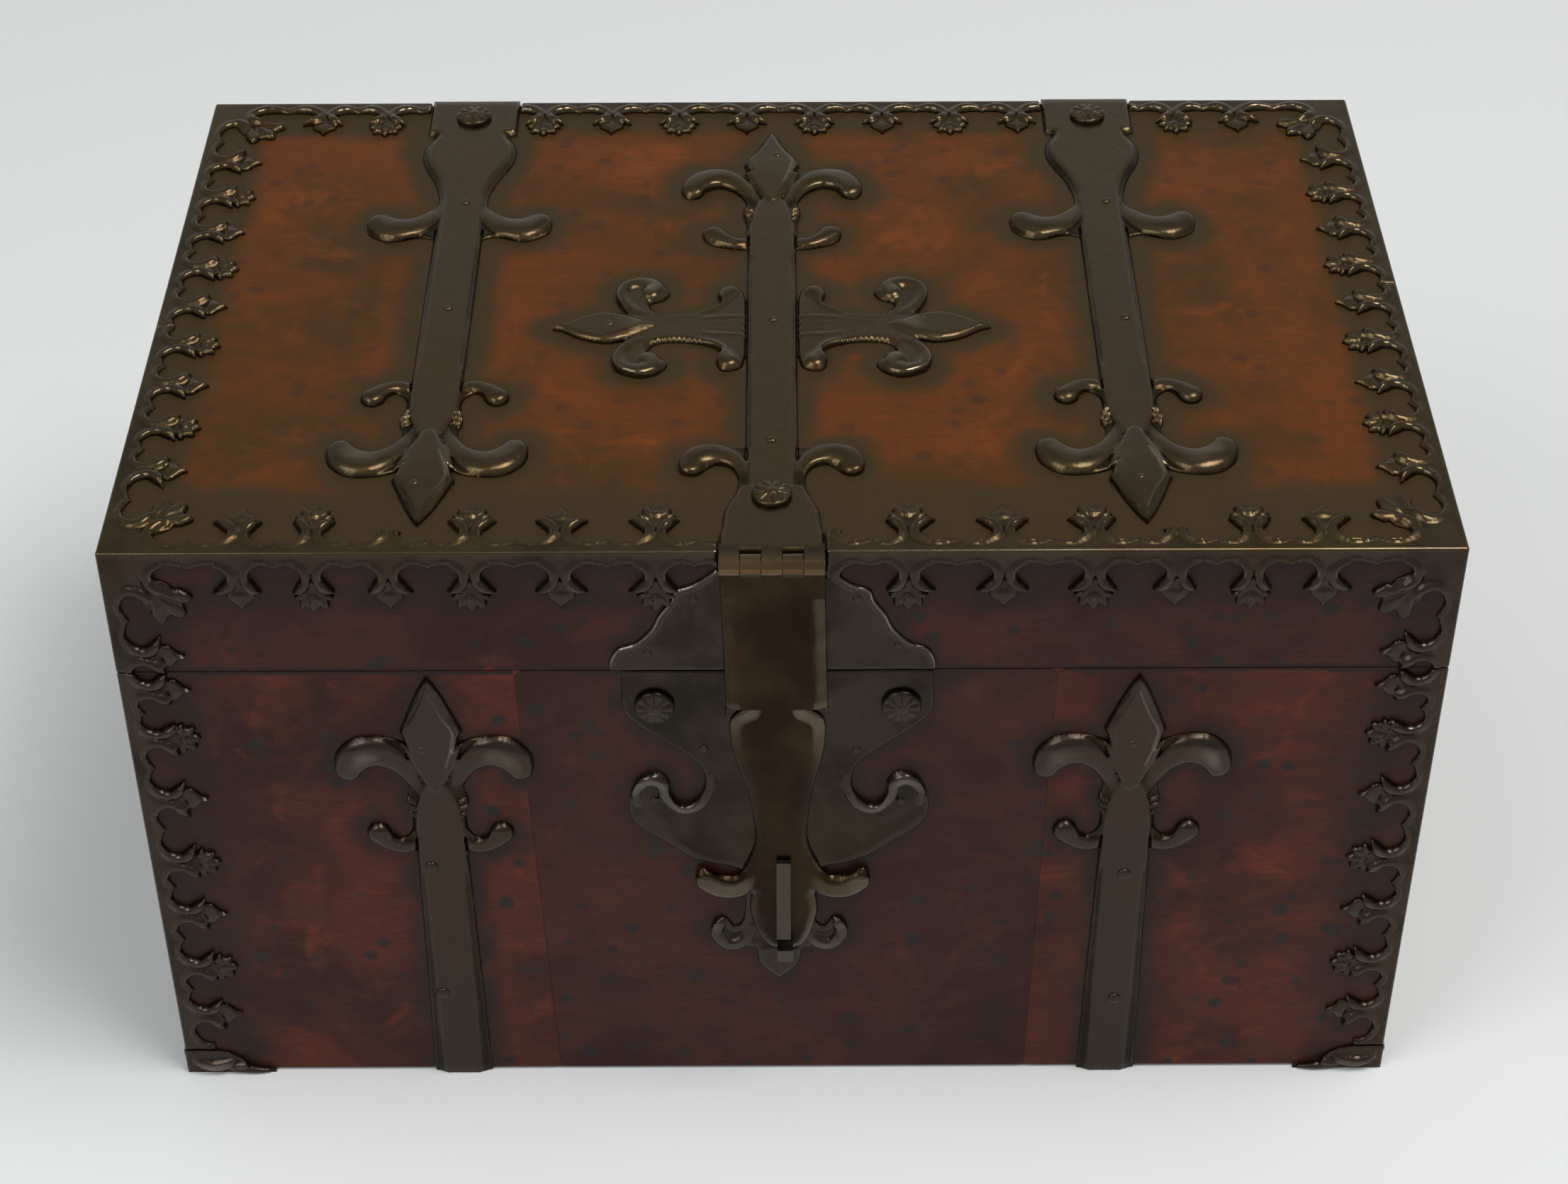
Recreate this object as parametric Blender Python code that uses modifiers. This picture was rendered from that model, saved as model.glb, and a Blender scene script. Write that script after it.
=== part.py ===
"""Strongbox of veneered boards bound in sheet bronze, with strap hinges, a hasp and a lock.

Metres, +Z up, the front faces -Y, and the middle of the footprint is the origin.
"""

import math

import bmesh
import bpy
from mathutils import Matrix, Vector

# The whole box
BOX_WIDTH = 0.460
BOX_DEPTH = 0.294
BOX_HEIGHT = 0.256
LID_HEIGHT = 0.053
BOARD = 0.012
BOTTOM_BOARD = 0.010
LID_LIP = 0.0042
LID_CORE = 0.0055

# Metalwork and the gaps between fitted pieces
SHEET = 0.001
STRAP = 0.0024
FIT_GAP = 0.0003
PIN_FIT = 0.0001
OVERRUN = 0.002

# Pierced borders
BAND = 0.0048
CUSP_DEPTH = 0.0070
STEM_LENGTH = 0.0250
SCROLL_REACH = 0.0070
CORNER_REACH = 0.0300
JOINT_STEM_SPACE = 0.0075
SIDE_STEM_PITCH = 0.0252
SIDE_STEMS = 9
BACK_STEM_PITCH = 0.0272
CROWN_SHARE = 0.5
POINT_SHARES = ((0.21, 0.38), (1.00, 0.70), (0.48, 0.73), (0.60, 0.83))
PALMETTE_SHARES = ((0.21, 0.38), (1.00, 0.68), (0.50, 0.72), (0.82, 0.94), (0.40, 0.92))
CORNER_SHARES = ((0.52, 0.30), (0.85, 0.48), (0.78, 0.58), (1.00, 0.72), (0.88, 0.88))
FRONT_STEM_SHARES = (0.325, 0.458, 0.577, 0.689, 0.796)
INNER_STEM_SHARE = 0.185
END_STEM_SHARES = (0.690, 0.798)
BODY_STEM_SHARES = (0.852, 0.709, 0.554, 0.424, 0.286, 0.160)

# Feet under the corners
FOOT_LENGTH = 0.034
FOOT_HEIGHT = 0.012
FOOT_SHARES = ((1.0, 0.0), (0.93, 0.16), (0.72, 0.30), (0.62, 0.66), (0.50, 0.90), (0.36, 1.0))

# Straps: a fleur-de-lis end, a shaft and, on the hinges, a head with a baluster
STRAP_PLACE = 0.1235
FLEUR_LENGTH = 0.084
FLEUR_REACH = 0.0352
SHAFT_HALF = 0.0092
FRONT_STRAP_FLARE = 0.0018
FRONT_STRAP_TOP = 0.0022
FRONT_STRAP_RETURN = 0.012
HEAD_HALF = 0.0178
HEAD_LENGTH = 0.0245
BALUSTER_LENGTH = 0.076
BALUSTER_REACH = 0.0355
LID_STRAP_END = 0.0150
REAR_LEAF_TIP = 0.017
REAR_LEAF_SHAFT = 0.0015
CENTRE_STRAP_START = 0.0255
CENTRE_ARMS_START = 0.056
CENTRE_ARMS_REACH = 0.0322
CENTRE_PLACE = -0.0035
CROSS_PLACE = 0.162
CROSS_TIP = 0.0805
CROSS_REACH = 0.031
FLEUR_SHARES = (
    (0.13, 0.10),
    (0.30, 0.29),
    (0.235, 0.375),
    (0.46, 0.335),
    (0.76, 0.335),
    (0.96, 0.410),
    (1.00, 0.500),
    (0.94, 0.565),
    (0.80, 0.560),
    (0.72, 0.505),
    (0.56, 0.480),
    (0.39, 0.525),
    (0.31, 0.620),
    (0.36, 0.700),
    (0.31, 0.775),
    (0.27, 0.840),
    (0.40, 0.865),
    (0.53, 0.830),
    (0.70, 0.835),
    (0.75, 0.890),
    (0.62, 0.955),
    (0.44, 0.985),
)
BALUSTER_SHARES = (
    (0.43, 0.02),
    (0.52, 0.14),
    (0.50, 0.28),
    (0.34, 0.48),
    (0.27, 0.66),
    (0.36, 0.76),
    (0.55, 0.83),
    (0.76, 0.77),
    (0.93, 0.78),
    (1.00, 0.87),
    (0.95, 0.96),
    (0.72, 1.02),
    (0.42, 0.98),
)
CENTRE_ARM_SHARES = (
    (0.60, 1.03),
    (0.88, 1.00),
    (1.00, 0.86),
    (0.95, 0.76),
    (0.80, 0.75),
    (0.62, 0.85),
    (0.44, 0.82),
    (0.36, 0.70),
    (0.40, 0.55),
    (0.50, 0.40),
    (0.53, 0.22),
)
CROSS_SHARES = (
    (0.128, 0.54),
    (0.14, 0.80),
    (0.22, 0.86),
    (0.25, 0.70),
    (0.23, 0.48),
    (0.32, 0.33),
    (0.44, 0.28),
    (0.53, 0.33),
    (0.56, 0.50),
    (0.50, 0.60),
    (0.47, 0.76),
    (0.52, 0.94),
    (0.60, 1.00),
    (0.69, 0.88),
    (0.72, 0.66),
    (0.69, 0.42),
    (0.66, 0.26),
    (0.75, 0.30),
    (0.86, 0.22),
    (0.95, 0.06),
)

# Hinges
BARREL = 0.0038
PIN = 0.0016
KNUCKLE_INSET = 0.00005
KNUCKLE_ROOT = 0.0025
KNUCKLE_SIDE_GAP = 0.0003
LID_HINGE_KNUCKLES = 3
HASP_HINGE_KNUCKLES = 5
LID_SWING = math.radians(105)
STOP_REACH = 0.0070
STOP_HALF = 0.0011
ROUND_STEPS = 24
FLAT_DEGREES = 0.05
SMOOTH_DEGREES = 40

# Hasp, measured down from its hinge, and its staple and lug, down from the lid's joint
HASP_HALF = 0.0178
HASP_PLATE_LENGTH = 0.0665
HASP_LENGTH = 0.1865
HASP_WAIST = 0.0095
HASP_ARM_REACH = 0.0318
HASP_LEAN = 0.0040
HASP_SHARES = (
    (0.62, 0.360),
    (0.90, 0.385),
    (0.94, 0.430),
    (0.85, 0.490),
    (0.64, 0.570),
)
HASP_WAIST_SHARES = ((1.05, 0.635), (1.00, 0.700))
HASP_ARM_SHARES = (
    (0.39, 0.758),
    (0.55, 0.785),
    (0.74, 0.768),
    (0.94, 0.770),
    (1.00, 0.798),
    (0.92, 0.832),
    (0.70, 0.850),
    (0.47, 0.836),
    (0.38, 0.826),
    (0.39, 0.880),
    (0.31, 0.948),
    (0.16, 0.990),
)
STAPLE_HALF = 0.002
STAPLE_HEIGHT = 0.014
STAPLE_DROP = 0.119
STAPLE_DEPTH = 0.0075
EYE_HEIGHT = 0.0070
EYE_DEPTH = 0.0042
EYE_WALL = 0.0014
LUG_HALF = 0.0026
LUG_BOTTOM_DROP = 0.1215
LUG_TOP_DROP = 0.0875
LUG_TOP_RISE = 0.0020
LUG_BOTTOM_RISE = 0.0068
KNOB_HALF = 0.0029
KNOB_RISE = 0.0055
KNOB_SHANK = 0.0014
KNOB_UP = 0.0042

# Striker plate on the lid and lock plate on the body, the lock measured down from their joint
STRIKER_PLACE = -0.0035
STRIKER_HALF = 0.0562
STRIKER_HEIGHT = 0.0445
STRIKER_SHARES = (
    (1.00, 0.10),
    (0.95, 0.22),
    (0.84, 0.28),
    (0.74, 0.42),
    (0.69, 0.56),
    (0.62, 0.70),
    (0.59, 0.80),
    (0.48, 0.86),
    (0.34, 1.00),
)
LOCK_PLACE = -0.0017
LOCK_HALF = 0.054
LOCK_PLATE_HEIGHT = 0.152
LOCK_SHARES = (
    (1.00, 1.000),
    (1.00, 0.890),
    (0.93, 0.845),
    (0.75, 0.790),
    (0.57, 0.735),
    (0.49, 0.690),
    (0.49, 0.640),
    (0.55, 0.602),
    (0.64, 0.588),
    (0.71, 0.618),
    (0.715, 0.660),
    (0.79, 0.688),
    (0.91, 0.674),
    (0.975, 0.625),
    (0.99, 0.565),
    (0.92, 0.515),
    (0.75, 0.466),
    (0.59, 0.418),
    (0.45, 0.393),
    (0.32, 0.382),
    (0.235, 0.350),
    (0.235, 0.220),
    (0.30, 0.178),
    (0.37, 0.212),
    (0.44, 0.200),
    (0.47, 0.160),
    (0.42, 0.122),
    (0.31, 0.104),
    (0.17, 0.108),
    (0.13, 0.050),
)
SLOT_HALF = 0.0027
SLOT_BOTTOM_ROOM = 0.001
SLOT_RISE = 0.0245
KEY_PLACE = -0.003
KEY_DROP = 0.065
KEY_HOLE = 0.0024
KEY_SLIT_HALF = 0.0009
KEY_SLIT_DROP = 0.0075
LOCK_CASE_HALF = 0.011
LOCK_CASE_BOTTOM_DROP = 0.1215
LOCK_CASE_TOP_DROP = 0.0515
LOCK_CASE_DEPTH = 0.0082
CASE_WALL = 0.0008
BOLT_ROOM = 0.0006
BOLT_LINK = 0.0015
BOLT_WIDTH = 0.0050
BOLT_FIT = 0.0005
KEY_POST = 0.0011
TALON_HALF = 0.0030
TALON_DEPTH = 0.0018

# Rosette bolts
ROSETTE = 0.0070
ROSETTE_RISE = 0.0032
ROSETTE_SHANK = 0.0020
ROSETTE_SHANK_LENGTH = 0.0060
ROSETTE_RIM = 0.0009
ROSETTE_DOME_SHARES = ((0.0, 1.00), (0.50, 0.88), (0.86, 0.62))
LOCK_ROSETTE_SPREAD = 0.0430
LOCK_ROSETTE_DROP = 0.0155
HEAD_ROSETTE_SHARE = 0.62
CENTRE_ROSETTE_BACK = 0.0285

# Carrying handles on the ends, their line measured down from the joint
HANDLE_LINE_DROP = 0.065
HANDLE_SPAN_HALF = 0.050
HANDLE_DROP = 0.044
HANDLE_WIRE = 0.0036
HANDLE_BEND = 0.016
HANDLE_BEND_STEPS = 4
HANDLE_ROUND_STEPS = 2
HANDLE_STANDOFF = 0.0070
POST_HALF = 0.0046
POST_LENGTH = 0.0080
HANDLE_PIN = 0.0026
HANDLE_PLATE_HALF = 0.066
HANDLE_PLATE_RISE = 0.016
HANDLE_PLATE_SHARES = (
    (1.00, 0.00),
    (0.90, 0.42),
    (0.72, 0.55),
    (0.60, 1.00),
    (0.44, 0.52),
    (0.18, 0.40),
    (0.00, 0.78),
)

# Places worked out from the sizes above
WOOD_X = BOX_WIDTH / 2 - SHEET - FIT_GAP
WOOD_Y = BOX_DEPTH / 2 - SHEET - FIT_GAP
WOOD_TOP = BOX_HEIGHT - SHEET - FIT_GAP
WOOD_BOTTOM = SHEET + FIT_GAP
JOINT = BOX_HEIGHT - LID_HEIGHT
BODY_TOP = JOINT - FIT_GAP / 2
LID_BOTTOM = JOINT + FIT_GAP / 2
SHEET_X = WOOD_X + FIT_GAP
SHEET_Y = WOOD_Y + FIT_GAP
SHEET_TOP = WOOD_TOP + FIT_GAP
LID_AXIS_Y = SHEET_Y + KNUCKLE_INSET + BARREL
HASP_BACK = BOX_DEPTH / 2 + FIT_GAP
HASP_FRONT = HASP_BACK + STRAP
HASP_AXIS_Y = -(HASP_BACK + KNUCKLE_INSET + BARREL)
HASP_AXIS_Z = SHEET_TOP + STRAP - KNUCKLE_INSET - BARREL
KNUCKLE_ROOM = BARREL + KNUCKLE_INSET + FIT_GAP
STAPLE_BOTTOM = JOINT - STAPLE_DROP
LUG_BOTTOM = JOINT - LUG_BOTTOM_DROP
LUG_TOP = JOINT - LUG_TOP_DROP
KEY_UP = JOINT - KEY_DROP
LOCK_CASE_BOTTOM = JOINT - LOCK_CASE_BOTTOM_DROP
LOCK_CASE_TOP = JOINT - LOCK_CASE_TOP_DROP
LOCK_ROSETTE_UP = JOINT - LOCK_ROSETTE_DROP
SLOT_BOTTOM = STAPLE_BOTTOM - SLOT_BOTTOM_ROOM
SLOT_TOP = STAPLE_BOTTOM + STAPLE_HEIGHT + SLOT_RISE
BOLT_BACK = HASP_BACK - STAPLE_DEPTH + EYE_WALL + BOLT_FIT
BOLT_FRONT = HASP_BACK - STAPLE_DEPTH + EYE_WALL + EYE_DEPTH - BOLT_FIT
HANDLE_AXIS_X = BOX_WIDTH / 2 + HANDLE_STANDOFF
HANDLE_UP = JOINT - HANDLE_LINE_DROP

X, Y, Z = Vector((1, 0, 0)), Vector((0, 1, 0)), Vector((0, 0, 1))


def facing(across, up):
    """A plane through the origin with its two directions, and its outward one third."""
    return Matrix((across, up, across.cross(up))).transposed().to_4x4()


TOP = facing(X, Y)
FRONT = facing(X, Z)
BACK = facing(-X, Z)
RIGHT = facing(Y, Z)
LEFT = facing(-Y, Z)

COLOURS = {
    "veneer": ((0.16, 0.045, 0.022, 1), 0.32, 0.0),
    "lid_veneer": ((0.30, 0.105, 0.035, 1), 0.30, 0.0),
    "plain_wood": ((0.33, 0.20, 0.10, 1), 0.60, 0.0),
    "bronze": ((0.27, 0.22, 0.13, 1), 0.36, 1.0),
    "dark_bronze": ((0.17, 0.11, 0.06, 1), 0.34, 1.0),
    "steel": ((0.40, 0.39, 0.37, 1), 0.38, 1.0),
}


def clear_scene():
    for obj in list(bpy.data.objects):
        bpy.data.objects.remove(obj)


def new_material(name):
    colour, roughness, metallic = COLOURS[name]
    material = bpy.data.materials.new(name)
    material.use_nodes = True
    shader = material.node_tree.nodes["Principled BSDF"]
    shader.inputs["Base Color"].default_value = colour
    shader.inputs["Roughness"].default_value = roughness
    shader.inputs["Metallic"].default_value = metallic
    return material


def cleaned(mesh):
    """The mesh with doubled points merged, flat faces made one and all turned outwards."""
    work = bmesh.new()
    work.from_mesh(mesh)
    bmesh.ops.remove_doubles(work, verts=work.verts, dist=FIT_GAP / ROUND_STEPS)
    flat = math.radians(FLAT_DEGREES)
    bmesh.ops.dissolve_limit(work, angle_limit=flat, verts=work.verts, edges=work.edges)
    bmesh.ops.recalc_face_normals(work, faces=work.faces)
    work.to_mesh(mesh)
    work.free()
    return mesh


def evaluated(data, modifiers=()):
    """The mesh that Blender makes from this curve or mesh, with these Booleans applied."""
    body = bpy.data.objects.new("work", data)
    bpy.context.scene.collection.objects.link(body)
    helpers = []
    for operation, other in modifiers:
        helper = bpy.data.objects.new("helper", other)
        bpy.context.scene.collection.objects.link(helper)
        helpers.append(helper)
        change = body.modifiers.new(operation, "BOOLEAN")
        change.operation = operation
        change.solver = "EXACT"
        change.object = helper
    bpy.context.view_layer.update()
    graph = bpy.context.evaluated_depsgraph_get()
    mesh = bpy.data.meshes.new_from_object(body.evaluated_get(graph))
    for used in [body] + helpers:
        bpy.data.objects.remove(used)
    return mesh


def plate(loops, face, inner, outer):
    """A flat plate from outlines drawn on a face, between two levels out from the origin."""
    curve = bpy.data.curves.new("outline", "CURVE")
    curve.dimensions = "2D"
    curve.fill_mode = "BOTH"
    curve.extrude = (outer - inner) / 2
    for loop in loops:
        spline = curve.splines.new("POLY")
        spline.points.add(len(loop) - 1)
        for point, (across, up) in zip(spline.points, loop):
            point.co = (across, up, 0, 1)
        spline.use_cyclic_u = True
    mesh = evaluated(curve)
    mesh.transform(face @ Matrix.Translation((0, 0, (inner + outer) / 2)))
    return cleaned(mesh)


def box(low, high):
    """A block between two opposite corners."""
    corners = [(low[0], low[1]), (high[0], low[1]), (high[0], high[1]), (low[0], high[1])]
    return plate([corners], TOP, low[2], high[2])


def rod(centre, direction, radius, start, end):
    """A round bar along a direction, between two distances from the centre."""
    work = bmesh.new()
    bmesh.ops.create_cone(
        work,
        cap_ends=True,
        segments=ROUND_STEPS,
        radius1=radius,
        radius2=radius,
        depth=end - start,
    )
    mesh = bpy.data.meshes.new("rod")
    work.to_mesh(mesh)
    work.free()
    turn = Z.rotation_difference(direction).to_matrix().to_4x4()
    middle = Vector(centre) + direction * (start + end) / 2
    mesh.transform(Matrix.Translation(middle) @ turn)
    return mesh


def joined(base, *others):
    return cleaned(evaluated(base, [("UNION", other) for other in others]))


def cut(base, *cutters):
    return cleaned(evaluated(base, [("DIFFERENCE", cutter) for cutter in cutters]))


def place(name, mesh, finish, origin=(0, 0, 0), rounded=False):
    """Adds the piece to the strongbox, with its own material and its origin where it turns."""
    mesh.transform(Matrix.Translation(-Vector(origin)))
    mesh.materials.clear()
    mesh.materials.append(MATERIALS[finish])
    if rounded:
        mesh.shade_smooth()
        mesh.set_sharp_from_angle(angle=math.radians(SMOOTH_DEGREES))
    mesh.name = name
    obj = bpy.data.objects.new(name, mesh)
    obj.location = origin
    PARTS.objects.link(obj)
    return obj


def mirrored(half):
    """An outline closed by its own mirror image in the up line, ends on that line shared."""
    other = [(-across, up) for across, up in reversed(half) if abs(across) > 0]
    return half + other


def scaled(shares, reach, length):
    return [(across * reach, along * length) for across, along in shares]


# Boards


def board_outline(half_length, half_depth):
    """A mitred board seen from above, its long outer edge on the far side from the middle."""
    pull = FIT_GAP / math.sqrt(2)
    return [
        (-half_length + pull, half_depth),
        (half_length - pull, half_depth),
        (half_length - pull - BOARD, half_depth - BOARD),
        (-half_length + pull + BOARD, half_depth - BOARD),
    ]


def turned(outline, quarters):
    """The outline turned anticlockwise by quarter turns, seen from above."""
    for _ in range(quarters):
        outline = [(-up, across) for across, up in outline]
    return outline


def four_boards(prefix, low, high, finish):
    sides = (
        ("back", WOOD_X, WOOD_Y, 0),
        ("left", WOOD_Y, WOOD_X, 1),
        ("front", WOOD_X, WOOD_Y, 2),
        ("right", WOOD_Y, WOOD_X, 3),
    )
    for side, half_length, half_depth, quarters in sides:
        outline = turned(board_outline(half_length, half_depth), quarters)
        mesh = plate([outline], TOP, low, high)
        if prefix == "body" and side == "front":
            mesh = cut(mesh, *lock_pockets())
        place(prefix + "_board_" + side, mesh, finish)


def lock_pockets():
    """What is cut from the front board for the lock case and the two lock plate bolts."""
    room = FIT_GAP + LOCK_CASE_HALF
    pockets = [
        box(
            (-room, -WOOD_Y - OVERRUN, LOCK_CASE_BOTTOM - FIT_GAP),
            (room, -SHEET_Y + LOCK_CASE_DEPTH + FIT_GAP, LOCK_CASE_TOP + FIT_GAP),
        )
    ]
    for side in (-1, 1):
        centre = (LOCK_PLACE + side * LOCK_ROSETTE_SPREAD, 0, LOCK_ROSETTE_UP)
        pockets.append(shank_hole(centre, -Y, BOX_DEPTH / 2))
    return pockets


def shank_hole(centre, outward, level):
    """The hole for a rosette's shank, from outside the metal to just past the shank's end."""
    return rod(
        centre,
        outward,
        ROSETTE_SHANK + PIN_FIT,
        level - ROSETTE_SHANK_LENGTH - FIT_GAP,
        level + STRAP + OVERRUN,
    )


def bottom_board():
    half_x = WOOD_X - BOARD - FIT_GAP
    half_y = WOOD_Y - BOARD - FIT_GAP
    low = (-half_x, -half_y, WOOD_BOTTOM)
    high = (half_x, half_y, WOOD_BOTTOM + BOTTOM_BOARD)
    place("body_board_bottom", box(low, high), "plain_wood")


def lid_panel():
    """The lid's top board: a thin lip over the rails and a thicker core between them."""
    core_x = WOOD_X - BOARD - FIT_GAP
    core_y = WOOD_Y - BOARD - FIT_GAP
    lip_low = WOOD_TOP - LID_LIP
    lip = box((-WOOD_X, -WOOD_Y, lip_low), (WOOD_X, WOOD_Y, WOOD_TOP))
    core_low = (-core_x, -core_y, lip_low - LID_CORE)
    core = box(core_low, (core_x, core_y, WOOD_TOP - LID_LIP / 2))
    holes = [shank_hole(centre, Z, WOOD_TOP) for centre in lid_rosette_places()]
    place("lid_panel", cut(joined(lip, core), *holes), "lid_veneer")


# Pierced borders


def stem_side(axis, toward, palmette):
    """One side of a stem, from its narrow root to beside its tip."""
    shares = PALMETTE_SHARES if palmette else POINT_SHARES
    return [
        (axis + toward * across * SCROLL_REACH, down * STEM_LENGTH)
        for across, down in shares
    ]


def border_edge(start, end, stems):
    """The pierced edge between two ends of a run, as places along it and depths."""
    edge = [(start, BAND)]
    for index, (axis, palmette) in enumerate(stems):
        before = start if index == 0 else (stems[index - 1][0] + axis) / 2
        last = index == len(stems) - 1
        after = end if last else (axis + stems[index + 1][0]) / 2
        if index:
            edge.append((before, CUSP_DEPTH))
        edge.append((axis + (before - axis) * CROWN_SHARE, BAND))
        edge += stem_side(axis, -1, palmette)
        edge.append((axis, STEM_LENGTH))
        edge += reversed(stem_side(axis, 1, palmette))
        edge.append((axis + (after - axis) * CROWN_SHARE, BAND))
    edge.append((end, BAND))
    return edge


def alternate(places, first_palmette):
    return [(place, bool(index % 2) != first_palmette) for index, place in enumerate(places)]


def fitting(stems, reach):
    """The stems that stand clear of the corner's palmette and of the run's end."""
    last = reach - SCROLL_REACH
    return [stem for stem in stems if CORNER_REACH + SCROLL_REACH / 2 < stem[0] < last]


def corner_motif():
    """The palmette across an inner corner, from the first run's side to the second's."""
    half = scaled(CORNER_SHARES, CORNER_REACH, CORNER_REACH)
    return half + [(b, a) for a, b in reversed(half[:-1])]


def corner_face(first_end, first_stems, second_end, second_stems):
    """A sheet in a corner: its runs go along the first and the second direction."""
    start = CORNER_REACH
    first = border_edge(start, first_end, first_stems)[1:]
    second = border_edge(start, second_end, second_stems)[1:]
    outline = [(first_end, 0), (0, 0), (0, second_end)]
    outline += [(depth, along) for along, depth in reversed(second)]
    outline += list(reversed(corner_motif()))
    return outline + first


def strip_face(start, end, stems):
    edge = border_edge(start, end, stems)
    return [(end, 0), (start, 0)] + edge


def folded_sheet(name, faces, finish="bronze"):
    """One sheet bent over its edges: flat outlines placed in space that share fold corners."""
    mesh = bpy.data.meshes.new(name)
    points = []
    index_of = {}
    polygons = []
    for outline, corner, first, second in faces:
        polygon = []
        for along, down in outline:
            point = Vector(corner) + Vector(first) * along + Vector(second) * down
            key = tuple(round(value / (FIT_GAP / ROUND_STEPS)) for value in point)
            if key not in index_of:
                index_of[key] = len(points)
                points.append(point)
            polygon.append(index_of[key])
        polygons.append(polygon)
    mesh.from_pydata(points, [], polygons)
    cleaned(mesh)
    obj = place(name, mesh, finish)
    thicken = obj.modifiers.new("sheet", "SOLIDIFY")
    thicken.thickness = SHEET
    thicken.offset = -1
    thicken.use_even_offset = True
    return obj


def side_stem_places():
    first = -(SIDE_STEMS - 1) / 2
    return [(first + index) * SIDE_STEM_PITCH for index in range(SIDE_STEMS)]


def lid_corner_border(name, side, end, seam, run_end, top_run, fall_run):
    """A border round one corner of the lid: on its top, its front or back, and its end."""
    half_x, half_y = BOX_WIDTH / 2, BOX_DEPTH / 2
    corner = (side * half_x, end * half_y, BOX_HEIGHT)
    inward = (-side, 0, 0)
    along_side = (0, -end, 0)
    down = (0, 0, -1)
    reach = half_x - run_end
    side_reach = half_y - end * seam
    places = sorted(half_y - end * place for place in side_stem_places())
    side_run = fitting(alternate(places, False), side_reach)
    drop = BOX_HEIGHT - LID_BOTTOM
    fall = [(drop - JOINT_STEM_SPACE, False)]
    top = corner_face(reach, fitting(top_run, reach), side_reach, side_run)
    front = corner_face(reach, fitting(fall_run, reach), drop, fall)
    wing = corner_face(side_reach, side_run, drop, fall)
    faces = [
        (top, corner, inward, along_side),
        (front, corner, inward, down),
        (wing, corner, along_side, down),
    ]
    return folded_sheet(name, faces)


def places_from_corner(shares):
    half = BOX_WIDTH / 2
    return sorted(half - share * half for share in shares)


def lid_borders():
    head_edge = HEAD_HALF + FIT_GAP
    seam = SIDE_STEM_PITCH / 2
    fall_run = alternate(places_from_corner(FRONT_STEM_SHARES), False)
    inner = BOX_WIDTH / 2 * (1 - INNER_STEM_SHARE)
    under_tip = FRONT_STEM_SHARES[2]
    top_shares = [share for share in FRONT_STEM_SHARES if share != under_tip]
    top_run = alternate(places_from_corner(top_shares), False) + [(inner, False)]
    for side, name in ((-1, "left"), (1, "right")):
        centre_edge = head_edge + side * CENTRE_PLACE
        lid_corner_border(
            "lid_border_front_" + name, side, -1, seam * side, centre_edge, top_run, fall_run
        )
        end_run = alternate(places_from_corner(END_STEM_SHARES), False)
        strap_edge = STRAP_PLACE + head_edge
        lid_corner_border(
            "lid_border_back_" + name, side, 1, seam * side, strap_edge, end_run, end_run
        )
    lid_border_back_middle(STRAP_PLACE - head_edge)


def lid_border_back_middle(reach):
    count = 2 * int((reach - SCROLL_REACH) / BACK_STEM_PITCH + CROWN_SHARE)
    first = -(count - 1) / 2
    places = [(first + index) * BACK_STEM_PITCH for index in range(count)]
    outline = strip_face(-reach, reach, alternate(places, True))
    edge = (0, BOX_DEPTH / 2, BOX_HEIGHT)
    faces = [(outline, edge, (1, 0, 0), (0, -1, 0)), (outline, edge, (1, 0, 0), (0, 0, -1))]
    folded_sheet("lid_border_back_middle", faces)


def corner_bindings():
    top, bottom = BODY_TOP, FOOT_HEIGHT + FIT_GAP
    shares = sorted(BODY_STEM_SHARES)
    stems = alternate([share * JOINT for share in shares], False)
    stems.append((top - JOINT_STEM_SPACE, False))
    outline = strip_face(bottom, top, stems)
    for side, end, name in box_corners():
        corner = (side * BOX_WIDTH / 2, end * BOX_DEPTH / 2, 0)
        faces = [
            (outline, corner, (0, 0, 1), (-side, 0, 0)),
            (outline, corner, (0, 0, 1), (0, -end, 0)),
        ]
        folded_sheet("corner_binding_" + name, faces)


def box_corners():
    return (
        (-1, -1, "front_left"),
        (1, -1, "front_right"),
        (-1, 1, "back_left"),
        (1, 1, "back_right"),
    )


def feet():
    rise = scaled(FOOT_SHARES, FOOT_LENGTH, FOOT_HEIGHT)
    wall = [(0, 0)] + rise + [(0, FOOT_HEIGHT)]
    floor = [(0, 0), (FOOT_LENGTH, 0), (0, FOOT_LENGTH)]
    for side, end, name in box_corners():
        corner = (side * BOX_WIDTH / 2, end * BOX_DEPTH / 2, 0)
        faces = [
            (wall, corner, (-side, 0, 0), (0, 0, 1)),
            (wall, corner, (0, -end, 0), (0, 0, 1)),
            (floor, corner, (-side, 0, 0), (0, -end, 0)),
        ]
        folded_sheet("foot_" + name, faces)


# Straps


def fleur_half(tip, toward, length=FLEUR_LENGTH):
    """Half of a fleur-de-lis end from its tip to the shaft, as (across, up)."""
    points = [(0, tip)]
    for across, along in scaled(FLEUR_SHARES, FLEUR_REACH, length):
        points.append((across, tip + toward * along))
    points.append((SHAFT_HALF, tip + toward * length))
    return points


def shifted(outline, across, up=0):
    return [(a + across, b + up) for a, b in outline]


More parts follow.
